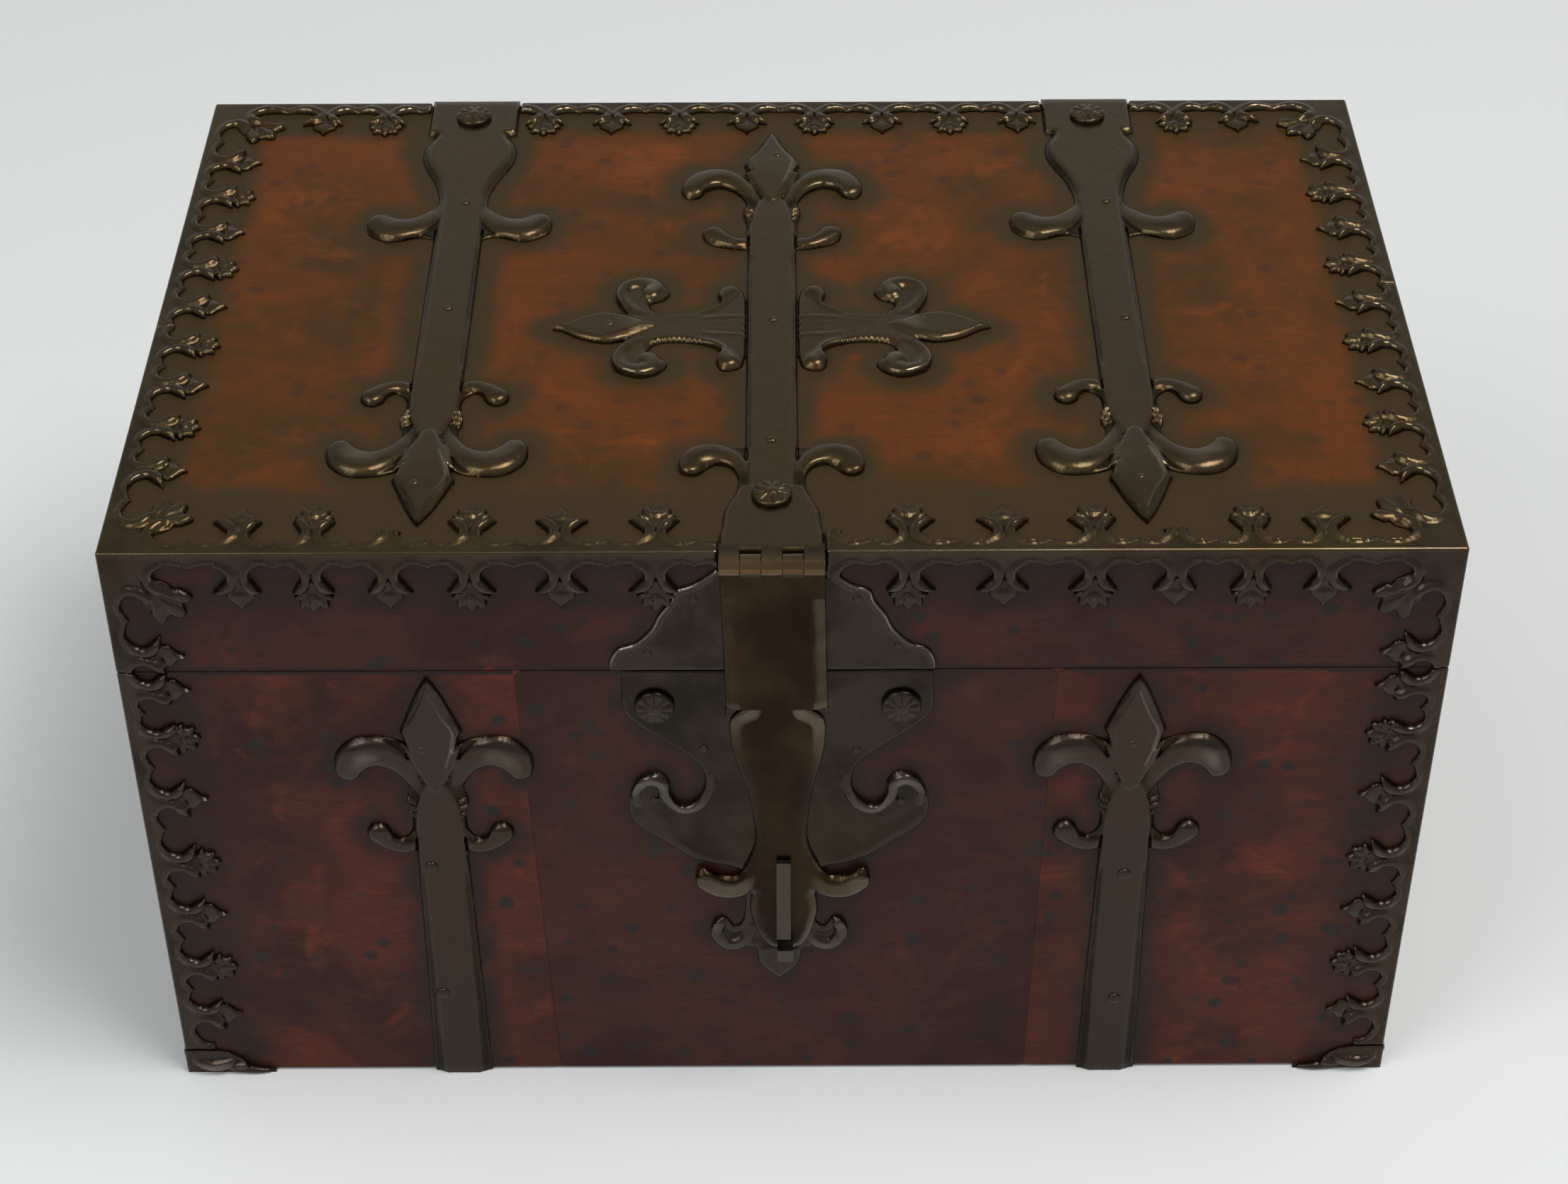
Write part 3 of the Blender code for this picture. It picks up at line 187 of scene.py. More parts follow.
# %% [markdown]
# ## Bronze
#
# The mounts are bronze that has gone brown and olive, waxed and rubbed. Hands and cloths reach
# the high places, so each relief piece carries an attribute named lift: 0 on its plain face,
# below 0 in the hollows and above 0 on the scrolls. On some pieces lift also carries painted
# light: painted highlights along rims, folds, bevel tops, the fleur's point and the hasp's bevels
# and arms, and painted shade on the left bevel of each fleur's point. The colour goes from nearly
# black dirt through olive brown to a rubbed bronze along it, so its dark end also stands for that
# shade and its bright end for those highlights, and the rubbed and highlit places are the
# glossiest. A second attribute, named top, makes what lies on the lid's top lighter and warmer.
# It is a metal, so the pale room shows in it as a soft gloss.


# %% Bronze
PATCH_TONE, LID_WARMTH = (0.05, 0.031, 0.014), (1.6, 1.52, 0.95)


def bronze(name, hollow_and_painted_shade, middle, rubbed_and_painted_highlight, rough=0.28, patches=0.35, patch_scale=13):
    material, tree, shader = new_material(name)
    place = object_place(tree)
    cloud = noise(tree, place, 38, 4, 0.6, 0.4)
    fine = noise(tree, place, 420, 3, 0.6)
    # Lift and a cloud of noise: wear, and on some pieces painted highlight and painted shade.
    wear_and_painted_light = sums(tree, "ADD", attribute(tree, "lift"), spread(tree, cloud, 0.3, 0.75, -0.1, 0.12))
    colour = blended(tree, spread(tree, wear_and_painted_light, -0.34, 0.0), hollow_and_painted_shade, middle)
    colour = blended(tree, spread(tree, wear_and_painted_light, 0.34, 1.0), colour, rubbed_and_painted_highlight)
    patch = spread(tree, noise(tree, place, patch_scale, 3, 0.5), 0.4, 0.72)
    colour = blended(tree, sums(tree, "MULTIPLY", patch, patches), colour, PATCH_TONE)
    # Faces on the lid's top are made lighter and warmer, less so where the share is high.
    warm = sums(tree, "MULTIPLY", attribute(tree, "top"), spread(tree, wear_and_painted_light, 0.15, 0.75, 1.0, 0.35))
    colour = blended(tree, warm, colour, LID_WARMTH, "MULTIPLY")
    link(tree, colour, shader.inputs["Base Color"])
    shader.inputs["Metallic"].default_value = 0.92
    gloss = spread(tree, fine, 0.3, 0.8, rough - 0.02, rough + 0.06)
    gloss = sums(tree, "SUBTRACT", gloss, spread(tree, wear_and_painted_light, 0.05, 0.6, 0.0, 0.17))
    link(tree, gloss, shader.inputs["Roughness"])
    grain = sums(tree, "ADD", sums(tree, "MULTIPLY", fine, 0.08), cloud)
    bumped(tree, shader, grain)
    return material


# Hollow, middle and rubbed colours: the hollow colour also paints shade, the rubbed colour highlights.
METAL_TONES = {
    "bronze": ((0.014, 0.01, 0.006), (0.046, 0.0335, 0.0265), (0.2, 0.172, 0.138)),
    "plate_bronze": ((0.012, 0.009, 0.006), (0.044, 0.033, 0.026), (0.19, 0.165, 0.14)),
    "dark_bronze": ((0.009, 0.005, 0.002), (0.0175, 0.009, 0.0036), (0.12, 0.096, 0.068), 0.3, 0.6, 34),
    "gold_bronze": ((0.03, 0.018, 0.009), (0.053, 0.041, 0.026), (0.15, 0.098, 0.046)),
    "lug_bronze": ((0.03, 0.025, 0.018), (0.072, 0.064, 0.052), (0.16, 0.14, 0.11)),
    "steel": ((0.03, 0.03, 0.03), (0.12, 0.115, 0.11), (0.3, 0.29, 0.27)),
}
METALS = {name: bronze(name, *tones) for name, tones in METAL_TONES.items()}
print("metals:", ", ".join(METALS))

# %% [markdown]
# ## Veneer
#
# The veneer is a dark figured wood under old polish. Broad clouds of colour, a fine grain and
# small greenish stains are three noises of different scale. Dirt and old wax lie round the
# metalwork, so each veneer sheet carries an attribute worked out from its distance to the metal.
# On the fronts the same attribute also paints shade into a narrow stripe along the joint between
# lid and body. A clear coat gives the polish its gloss.


# %% Veneer
# The front's dirt colour also paints the shade along the joint between lid and body.
STAIN_TONE, FRONT_DIRT_AND_JOINT_SHADE, LID_DIRT = (0.014, 0.014, 0.012), (0.017, 0.009, 0.006), (0.036, 0.023, 0.009)


def veneer(name, dark, warm, glow, dirt_and_joint_shade, stains=0.85, shine=0.14, shift=(0, 0, 0)):
    material, tree, shader = new_material(name)
    place = object_place(tree, shift=shift)
    broad = noise(tree, place, 14, 4, 0.6, 0.5)
    cloud = noise(tree, place, 42, 5, 0.62, 0.6)
    grain = noise(tree, object_place(tree, (1, 6, 6)), 95, 4, 0.65, 0.5)
    curl = noise(tree, object_place(tree, (7, 1, 7), (0, 0, 0.5)), 26, 3, 0.6, 1.2)
    colour = blended(tree, spread(tree, broad, 0.36, 0.62), dark, warm)
    colour = blended(tree, spread(tree, cloud, 0.5, 0.8, 0.0, 0.75), colour, glow)
    colour = blended(tree, spread(tree, grain, 0.42, 0.68, 0.0, 0.4), colour, dark)
    colour = blended(tree, spread(tree, curl, 0.52, 0.75, 0.0, 0.3), colour, dark)
    stain_edge = sums(tree, "ADD", spots(tree, place, 82), sums(tree, "MULTIPLY", cloud, 0.3))
    stain = spread(tree, stain_edge, 0.3, 0.44, 1.0, 0.0)
    stain = sums(tree, "MULTIPLY", stain, spread(tree, noise(tree, place, 24, 2), 0.4, 0.52, 0.0, stains))
    colour = blended(tree, stain, colour, STAIN_TONE)
    # Grime round the metal and, on the fronts, painted shade along the joint, both towards the dirt colour.
    grime_and_joint_shade = attribute(tree, "grime_and_joint_shade")
    grime_and_joint_shade = sums(tree, "ADD", grime_and_joint_shade, spread(tree, cloud, 0.3, 0.7, -0.22, 0.2))
    grime_and_joint_shade = sums(tree, "ADD", grime_and_joint_shade, spread(tree, broad, 0.3, 0.7, -0.1, 0.12))
    colour = blended(tree, spread(tree, grime_and_joint_shade, 0.1, 0.9), colour, dirt_and_joint_shade)
    link(tree, colour, shader.inputs["Base Color"])
    link(tree, spread(tree, noise(tree, place, 160, 3), 0.3, 0.7, 0.3, 0.44), shader.inputs["Roughness"])
    shader.inputs["Specular IOR Level"].default_value = shine
    shader.inputs["Coat Weight"].default_value = 0.3 * shine
    shader.inputs["Coat Roughness"].default_value = 0.2
    ripple = sums(tree, "ADD", sums(tree, "MULTIPLY", grain, 0.25), curl)
    bumped(tree, shader, ripple)
    return material


VENEER_TONES = {
    "veneer": ((0.026, 0.007, 0.004), (0.076, 0.015, 0.007), (0.185, 0.035, 0.011), FRONT_DIRT_AND_JOINT_SHADE),
    "veneer_middle": ((0.024, 0.007, 0.005), (0.056, 0.013, 0.008), (0.09, 0.021, 0.01), FRONT_DIRT_AND_JOINT_SHADE,
                      0.85, 0.14, (0.3, 0, 0.1)),
    "lid_veneer": ((0.046, 0.022, 0.006), (0.098, 0.028, 0.006), (0.176, 0.043, 0.008), LID_DIRT, 0.35, 0.06),
    "plain_wood": ((0.2, 0.12, 0.06), (0.32, 0.2, 0.11), (0.38, 0.25, 0.14), (0.1, 0.06, 0.03), 0.1, 0.2),
}
VENEERS = {name: veneer(name, *tones) for name, tones in VENEER_TONES.items()}
FINISHES = {**METALS, **VENEERS}
for name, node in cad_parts.items():
    slot = node.material_slots[0]
    finish = "lug_bronze" if name in ("hasp_staple", "hasp_knob") else slot.material.name.split(".")[0]
    slot.material = FINISHES[finish]
print("veneers:", ", ".join(VENEERS))

# %% [markdown]
# ## Relief cut from a field
#
# Every bronze mount is a thin plate with an outline and a raised surface. Both come from one
# field: a function of two directions on the plate that gives the distance inside the outline and
# the height of the face. A grid is cut along the line where that distance is zero, so edges are
# smooth at any angle. The back is the same face moved to the wood, and a wall closes the rim.


# %% Relief cut from a field
LIFT_PER_MM, WELD_GAP = 0.34, 0.01 * MM
HALF_X, HALF_Y, TOP_Z, JOINT_Z, JOINT_GAP = 230.0, 147.0, 256.0, 203.0, 0.15
BODY_TOP, LID_BOTTOM = JOINT_Z - JOINT_GAP, JOINT_Z + JOINT_GAP
SIDES = ((-1, "left"), (1, "right"))
CORNERS = [(side, end, row + word) for end, row in ((-1, "front_"), (1, "back_")) for side, word in SIDES]
CAD_SLOT = {"gold_bronze": "bronze", "plate_bronze": "bronze", "veneer_middle": "veneer"}


def corner_walk(case):
    """What a cell keeps, in order: its inner corners (even) and the cut points (odd) between."""
    walk = []
    for k in range(4):
        here, after = case >> k & 1, case >> (k + 1) % 4 & 1
        walk += [2 * k] * here + [2 * k + 1] * (here ^ after)
    return walk


def cut_grid(us, vs, field):
    """Marching squares: each cell keeps the part of its square where the field is above zero.

    A cell's polygon walks its four corners and takes each inner corner, and the point on a side
    where the field, taken as straight between two corners, is zero.
    """
    u, v = np.meshgrid(us, vs, indexing="ij")
    inner = field(u, v)[0]
    n, m = u.shape
    corner = np.arange(n * m).reshape(n, m)
    side_u = n * m + np.arange((n - 1) * m).reshape(n - 1, m)
    side_v = n * m + (n - 1) * m + np.arange(n * (m - 1)).reshape(n, m - 1)

    def crossing(first, second, low, high):
        gap = np.where(np.abs(first - second) < 1e-9, 1.0, first - second)
        return low + np.clip(first / gap, 0.05, 0.95) * (high - low)

    ends_u = (inner[:-1], inner[1:])
    ends_v = (inner[:, :-1], inner[:, 1:])
    points_u = np.concatenate([u.ravel(), crossing(*ends_u, u[:-1], u[1:]).ravel(), u[:, :-1].ravel()])
    points_v = np.concatenate([v.ravel(), v[:-1].ravel(), crossing(*ends_v, v[:, :-1], v[:, 1:]).ravel()])
    inside = inner > 0
    case = inside[:-1, :-1] + 2 * inside[1:, :-1] + 4 * inside[1:, 1:] + 8 * inside[:-1, 1:]
    local = np.stack([corner[:-1, :-1], side_u[:, :-1], corner[1:, :-1], side_v[1:],
                      corner[1:, 1:], side_u[:, 1:], corner[:-1, 1:], side_v[:-1]], axis=-1)
    polygons = [local[case == k][:, corner_walk(k)] for k in range(1, 16)]
    used, renumbered = np.unique(np.concatenate([p.ravel() for p in polygons]), return_inverse=True)
    cuts = np.cumsum([p.size for p in polygons])[:-1]
    polygons = [part.reshape(p.shape) for part, p in zip(np.split(renumbered, cuts), polygons)]
    return points_u[used], points_v[used], [p for p in polygons if len(p)]


def add_attribute(mesh, name, values):
    """A number for each point of a mesh."""
    mesh.attributes.new(name, "FLOAT", "POINT").data.foreach_set("value", values.astype(np.float32))


def finish_piece(name, mesh, finish, body, sharp, replaces=(), weld=False):
    """Turns a mesh's faces outwards, shades it and makes it one piece of a body."""
    work = bmesh.new()
    work.from_mesh(mesh)
    if weld:
        bmesh.ops.remove_doubles(work, verts=work.verts, dist=WELD_GAP)
    bmesh.ops.recalc_face_normals(work, faces=work.faces)
    work.to_mesh(mesh)
    work.free()
    mesh.shade_smooth()
    mesh.set_sharp_from_angle(angle=math.radians(sharp))
    mesh.materials.append(FINISHES[finish])
    obj = put_in_scene(name, mesh)
    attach(obj, body)
    CAD_SLOT.get(finish, finish)
    if replaces:
        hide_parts(*replaces)
    print(name, len(mesh.polygons), "faces")


def relief(name, patches, finish, body, replaces=(), floor=0.0, plain=0.0, share="lift"):
    """A closed plate from patches that share their edges, each (us, vs, field, lay).

    lay turns two directions and a height into places in millimetres. The floor is the height of
    the plate's back, and plain is the height that is neither hollow nor rubbed. A field may give
    a third value, which is added to the share that drives the colour.
    """
    tops, backs, lifts, polygons, start = [], [], [], [], 0
    for us, vs, field, lay in patches:
        u, v, found = cut_grid(us, vs, field)
        height, *added = field(u, v)[1:]
        tops.append(lay(u, v, height))
        backs.append(lay(u, v, np.full_like(height, floor)))
        lifts.append(np.clip(LIFT_PER_MM * (height - plain) + sum(added), -0.4, 1))
        polygons += [start + p for p in found]
        start += len(u)
    top, back, lift = np.concatenate(tops), np.concatenate(backs), np.concatenate(lifts)
    _, kept, weld = np.unique(np.round(top, 3), axis=0, return_index=True, return_inverse=True)
    polygons = [weld.reshape(-1)[p] for p in polygons]
    top, back, lift = top[kept], back[kept], lift[kept]
    sides = np.concatenate([np.stack([p, np.roll(p, -1, 1)], -1).reshape(-1, 2) for p in polygons])
    _, first, count = np.unique(np.sort(sides, 1), axis=0, return_index=True, return_counts=True)
    rim = sides[first[count == 1]]
    walls = np.concatenate([rim, rim[:, ::-1] + len(top)], axis=1)
    faces = [row for p in polygons for row in p.tolist()]
    faces += [row for p in polygons for row in (p[:, ::-1] + len(top)).tolist()] + walls.tolist()
    mesh = bpy.data.meshes.new(name)
    mesh.from_pydata(np.concatenate([top, back]) * MM, [], faces)
    mesh.validate()
    add_attribute(mesh, share, np.concatenate([lift, np.zeros_like(lift)]))
    add_attribute(mesh, "top", np.tile(ramp(top[:, 2], TOP_Z - 2, TOP_Z), 2))
    finish_piece(name, mesh, finish, body, 62, replaces)


def plate(name, us, vs, field, lay, finish, body, *replaced, **heights):
    """A relief of one patch."""
    relief(name, [(us, vs, field, lay)], finish, body, replaced, **heights)


def ramp(value, low, high):
    """0 below low, 1 above high, and an even S between."""
    share = np.clip((value - low) / (high - low), 0, 1)
    return share * share * (3 - 2 * share)


def dome(share):
    """The height of a half circle over its share from the middle, 0 outside it."""
    return np.sqrt(np.clip(1 - share * share, 0, None))


# %% [markdown]
# ## Pierced borders
#
# Thin sheet folded over the edges of the box, pierced so that the wood shows. Between two stems
# the opening is a double arch. A roll follows its edge, thin at the cusp, and swells to a round
# end beside the stem. The stem ends in a pointed leaf or a small palmette. All of it is written
# for one stem in millimetres, along the edge and deep from it, and every stem is one lookup.

# %% Numbers of the border
ARCH_TOP, ARCH_RISE, WAIST, FAR = 4.7, 6.4, 1.1, 9.0
ARCH_MIDDLE = ARCH_TOP + ARCH_RISE
POINTED, PALMETTE, CORNER, BARE = 0, 1, 2, 3
ROLL_TURN = [20, 60, 90, 135, 180, 215, 240, 262, 272]
FINE_ROLL = ([0, 0.7, 1.1, 2.0, 2.7, 3.3, 3.0, 1.4, 0.2], [0, 0.4, 0.6, 1.1, 1.6, 2.2, 2.2, 1.1, 0.2])
FULL_ROLL = ([0, 2.4, 3.4, 3.2, 2.7, 3.3, 3.0, 1.4, 0.2], [0, 1.2, 1.8, 1.6, 1.4, 2.1, 2.2, 1.1, 0.2])
LEAF_DEEP = [15.0, 17.0, 18.6, 20.0, 21.4, 22.8, 25.0]
LEAF_HALF = [2.0, 4.0, 4.9, 4.3, 2.6, 1.2, 0.1]


# %% One run of border
def border_run(along, deep, stems, kinds, roll=FINE_ROLL, end_gap=26.0):
    """Distance inside and height, for a run of stems.

    An arch is an ellipse between the stem's waist and the cusp. Its polar angle runs from the
    cusp over the top and down the stem's side, and the roll's width and height follow it.
    """
    stems, kinds = np.asarray(stems, float), np.asarray(kinds)
    which = np.searchsorted((stems[1:] + stems[:-1]) / 2, along)
    gaps = np.diff(stems)
    after = np.append(gaps, end_gap)[which]
    before = np.insert(gaps, 0, end_gap)[which]
    kind = kinds[which]
    from_stem = along - stems[which]
    gap = np.where(from_stem > 0, after, before)
    out = np.abs(from_stem)
    wide = 0.548 * (gap / 2 - WAIST)
    middle = WAIST + wide
    scale = np.sqrt(wide * ARCH_RISE)
    px, py = (out - middle) / wide, (ARCH_MIDDLE - deep) / ARCH_RISE
    reach = np.hypot(px, py)
    turn = np.degrees(np.arctan2(py, px))
    turn = np.where(turn < -75, turn + 360, turn)
    width = np.interp(turn, ROLL_TURN, roll[0])
    rise = np.interp(turn, ROLL_TURN, roll[1])
    pointed, fanned = kind == POINTED, kind == PALMETTE
    solid = (kind == CORNER) & (from_stem < 0)
    bare = (kind == BARE) | solid
    beyond = (reach - 1) * scale
    edge = np.where(solid, FAR, beyond + width)
    web = np.minimum(np.minimum(beyond + 0.8, 18.8 - deep), 4.6 - out)
    half = np.interp(deep, LEAF_DEEP, LEAF_HALF)
    leaf = np.minimum(np.minimum((half - out) * 0.85, deep - 15), 25 - deep)
    fan, flutes = palmette(out, deep - 16.8, 8.0, 34.0)
    inside = np.minimum(edge, ARCH_MIDDLE + 1 - deep)
    for shown, part in (((turn > 150) & (turn < 272) & ~bare, np.minimum(edge, -beyond)),
                        (pointed | fanned, web), (pointed, leaf), (fanned, fan)):
        inside = np.maximum(inside, np.where(shown, part, -FAR))
    across = (beyond + 0.35 * width) / np.maximum(0.65 * width, 0.01)
    height = np.where(solid | (bare & (deep > ARCH_MIDDLE)), 0, rise * dome(across))
    ridge = (0.25 + 0.75 * np.clip(1 - out / np.maximum(half, 0.1), 0, 1)) * ramp(deep, 16.0, 18.5)
    for shown, part in ((pointed, ridge), (fanned, flutes)):
        height = np.maximum(height, np.where(shown, part, 0))
    nail = dome(np.hypot(out, deep - 19.8) / 1.3)
    height = np.where(fanned & (nail > 0), 0.7 + 0.6 * nail, height)
    line = np.exp(-((beyond - 0.9) / 0.45) ** 2) * (deep < ARCH_MIDDLE) * ~solid
    return inside, height + 0.6 * line


def palmette(across, along, length, pitch, lobes=2.5):
    """A fan of lobes: its outline swings in and out with the polar angle, and so do its flutes."""
    reach = np.hypot(across, along)
    turn = np.degrees(np.arctan2(np.abs(across), along))
    rim = length * (1 - 0.12 * (turn / 52) ** 2 + 0.12 * np.cos(2 * math.pi * turn / pitch))
    inside = np.minimum(rim - reach, np.radians(lobes * pitch - turn) * reach)
    flute = 0.2 + 0.9 * np.abs(np.cos(math.pi * turn / pitch))
    shown = ramp(reach, 1.5, 0.5 * length) * ramp(rim - reach, -0.2, 1.2) * (turn < (lobes + 0.1) * pitch)
    return inside, flute * shown


def corner_motif(u, v):
    """The palmette across a corner, along the diagonal of the two runs."""
    along, across = (u + v) / math.sqrt(2), np.abs(u - v) / math.sqrt(2)
    half = np.interp(along, [0, 12, 17, 22, 26, 29], [6, 6, 4.8, 5.4, 6.6, 6.0])
    web = np.minimum(half - across, 29 - along)
    fan, flutes = palmette(across, along - 24.0, 13.0, 36.0, 1.5)
    return np.maximum(web, fan), flutes * 1.15


def softened(inside, height, edge=0.8, fall=0.7):
    """The face rounded down towards the outline."""
    return inside, height - fall * (1 - np.clip(inside / edge, 0, 1)) ** 2


def rim_rub_and_painted_highlight(inside):
    """A line half a millimetre wide along the rim of a plate: rubbed wear and a painted highlight."""
    return np.exp(-(((inside - 0.5) / 0.5) ** 2))


def sheet_rub_and_painted_highlight(inside, height, *from_folds):
    """Folds get a thin light line, rubbed wear and a painted highlight, arch rims a weaker one, and the rolls
    are darkened a little by their height.
    """
    deep = np.minimum.reduce(from_folds)
    fold = 0.9 * np.exp(-((deep / 0.5) ** 2))
    return fold + 0.5 * rim_rub_and_painted_highlight(inside) * (deep < ARCH_MIDDLE) - 0.08 * height


def corner_sheet(first, second, reach, side_reach):
    """The field of a face at a box corner: a run along each side and the corner's palmette."""
    def field(u, v):
        one, two, fan = border_run(u, v, *first), border_run(v, u, *second), corner_motif(u, v)
        inside = np.maximum(np.maximum(one[0], two[0]), fan[0])
        inside = np.minimum(inside, np.minimum(reach - u, side_reach - v))
        # Each side of the diagonal shows its own run, and the palmette lies over both.
        run = np.where(v < u, one[1], two[1])
        height = np.maximum(np.maximum(run, 0), fan[1])
        height = np.where(height > 0.02, height, np.minimum(run, 0))
        return *softened(inside, height), sheet_rub_and_painted_highlight(inside, height, u, v)
    return field


def strip_sheet(stems, kinds, low, high, roll=FINE_ROLL, end_gap=26.0):
    def field(u, v):
        inside, height = border_run(u, v, stems, kinds, roll, end_gap)
        inside = np.minimum(inside, np.minimum(u - low, high - u))
        return *softened(inside, height), sheet_rub_and_painted_highlight(inside, height, v)
    return field


# %% [markdown]
# ## Sheet laid on the box
#
# A border is drawn flat and laid on the box. Near an edge of the box the sheet turns over with a
# small radius: a point on the sharp box is pushed out from the nearest point of a box that is
# smaller by the radius, so the faces meet in a smooth bend.

# %% Laying sheet on the box
BEND = 1.1
PITCH = 0.62


def lay_on_box(corner, first, second):
    """Flat directions from a corner of the box, turned over its edges, as places."""
    corner, first, second = (np.array(a, float) for a in (corner, first, second))
    limit = np.array([HALF_X, HALF_Y, TOP_Z]) - BEND

    def lay(u, v, height):
        flat = corner + u[:, None] * first + v[:, None] * second
        core = np.clip(flat, -limit, limit)
        away = flat - core
        away /= np.linalg.norm(away, axis=1, keepdims=True)
        return core + away * (BEND + height)[:, None]
    return lay


def steps_from_edge(length, pitch=PITCH):
    """Grid lines from a folded edge: close in the bend, wide in the plain band, then even."""
    start = [0, 0.4, 0.8, 1.2, 2.6]
    count = max(2, int(round((length - start[-1]) / pitch)))
    return np.concatenate([start[:-1], np.linspace(start[-1], length, count + 1)])


def two_faces(us, vs, field, corner, *pairs):
    """The same field on the faces beside an edge, each by its two directions from a corner."""
    return [(us, vs, field, lay_on_box(corner, *pair)) for pair in pairs]


def alternating(places, first=POINTED):
    return [first if i % 2 == 0 else 1 - first for i in range(len(places))]


# %% Borders of the lid
FIRST_STEM, LAST_STEM, BACK_PITCH = 14, 7.5, 27.2
SIDE_STEMS = [46.2, 71.4, 96.6, 121.8, 147.0, 172.2]
FRONT_STEMS = [FIRST_STEM, 46.9, 71.5, 97.3, 124.7, 155.2, 187.4, 214]
FRONT_TOP = (FRONT_STEMS, [CORNER, POINTED, PALMETTE, BARE, PALMETTE, POINTED, PALMETTE, BARE])
FRONT_FALL = (FRONT_STEMS, [CORNER, POINTED, PALMETTE, POINTED, PALMETTE, POINTED, PALMETTE, BARE])
BACK_TOP = ([FIRST_STEM, 46.5, 71.3, 98], [CORNER, POINTED, PALMETTE, BARE])
DROP, SHEET_WIDTH = TOP_Z - JOINT_Z - JOINT_GAP, 26
DOWN_RUN = ([FIRST_STEM, DROP - LAST_STEM], [CORNER, POINTED])
SHEET = {"floor": -1.0, "plain": 0.3}
STRAP_X, CENTRE_X, HEAD, STRAP_GAP = 123.5, -3.5, 17.8, 0.3


def lid_corner(name, side, end, reach, side_reach, along_front, along_fall, roll):
    """The border round one corner of the lid: on its top, its front or back, and its end."""
    corner = (side * HALF_X, end * HALF_Y, TOP_Z)
    inward, along, down = (-side, 0, 0), (0, -end, 0), (0, 0, -1)
    count = sum(place < side_reach for place in SIDE_STEMS)
    kinds = [CORNER, *alternating(SIDE_STEMS[:count]), BARE]
    side_run = ([FIRST_STEM, *SIDE_STEMS[: count + 1]], kinds)
    patches = []
    for one, one_reach, one_run, two, two_reach, two_run in (
            (inward, reach, (*along_front, roll), along, side_reach, side_run),
            (inward, reach, along_fall, down, DROP, DOWN_RUN),
            (along, side_reach, side_run, down, DROP, DOWN_RUN)):
        field = corner_sheet(one_run, two_run, one_reach, two_reach)
        us, vs = steps_from_edge(one_reach), steps_from_edge(two_reach)
        patches.append((us, vs, field, lay_on_box(corner, one, two)))
    relief("sheet_" + name, patches, "bronze", "lid", [name], **SHEET)


for side, word in SIDES:
    seam = 12.6 * side
    reach = HALF_X - (HEAD + STRAP_GAP + side * CENTRE_X)
    lid_corner("lid_border_front_" + word, side, -1, reach, HALF_Y + seam, FRONT_TOP, FRONT_FALL, FINE_ROLL)
    reach = HALF_X - (STRAP_X + HEAD + STRAP_GAP)
    lid_corner("lid_border_back_" + word, side, 1, reach, HALF_Y - seam, BACK_TOP, BACK_TOP, FULL_ROLL)

back_stems = np.arange(-3.5, 4) * BACK_PITCH
back_half = STRAP_X - HEAD - STRAP_GAP
back_lines = np.arange(-back_half, back_half + PITCH / 2, 2 * back_half / round(2 * back_half / PITCH))
back_field = strip_sheet(back_stems, alternating(back_stems, PALMETTE), -back_half, back_half, FULL_ROLL)
patches = two_faces(back_lines, steps_from_edge(SHEET_WIDTH), back_field, (0, HALF_Y, TOP_Z),
                    ((1, 0, 0), (0, -1, 0)), ((1, 0, 0), (0, 0, -1)))
relief("sheet_lid_border_back_middle", patches, "bronze", "lid", ["lid_border_back_middle"], **SHEET)

# %% Bindings of the body's corners
BODY_STEMS = [32.5, 58.1, 86.1, 112.5, 143.9, 173.0, BODY_TOP - LAST_STEM]
FOOT_EDGE = 12.3
binding_lines = np.linspace(FOOT_EDGE, BODY_TOP, round((BODY_TOP - FOOT_EDGE) / PITCH) + 1)
binding = strip_sheet(BODY_STEMS, alternating(BODY_STEMS), FOOT_EDGE, BODY_TOP, end_gap=31.0)
for side, end, word in CORNERS:
    post = (side * HALF_X, end * HALF_Y, 0)
    patches = two_faces(binding_lines, steps_from_edge(SHEET_WIDTH), binding, post,
                        ((0, 0, 1), (-side, 0, 0)), ((0, 0, 1), (0, -end, 0)))
    relief("sheet_corner_binding_" + word, patches, "bronze", "case", ["corner_binding_" + word], **SHEET)

# %% [markdown]
# ## Outlines and strokes
#
# A strap's outline is a smooth curve through a few measured points. A doubled point makes a
# sharp corner. Raised scrolls are strokes: a half-round ridge of changing width that follows a
# curve, the way a smith chases a scroll from behind.


# %% Outlines and strokes
def curve_through(points, steps=6, closed=True):
    """A Catmull-Rom curve: each span bends by the points before and after it."""
    p = np.asarray(points, float)
    if closed:
        before, after, last = np.roll(p, 1, 0), np.roll(p, -1, 0), np.roll(p, -2, 0)
    else:
        before = np.concatenate([p[:1], p[:-2]])
        after, last = p[1:], np.concatenate([p[2:], p[-1:]])
        p = p[:-1]
    t = (np.arange(steps) / steps)[None, :, None]
    a, b, c, d = (q[:, None, :] for q in (before, p, after, last))
    curve = 0.5 * (2 * b + (c - a) * t + (2 * a - 5 * b + 4 * c - d) * t**2 + (3 * b - a - 3 * c + d) * t**3)
    curve = curve.reshape(-1, p.shape[1])
    return curve if closed else np.concatenate([curve, after[-1:]])


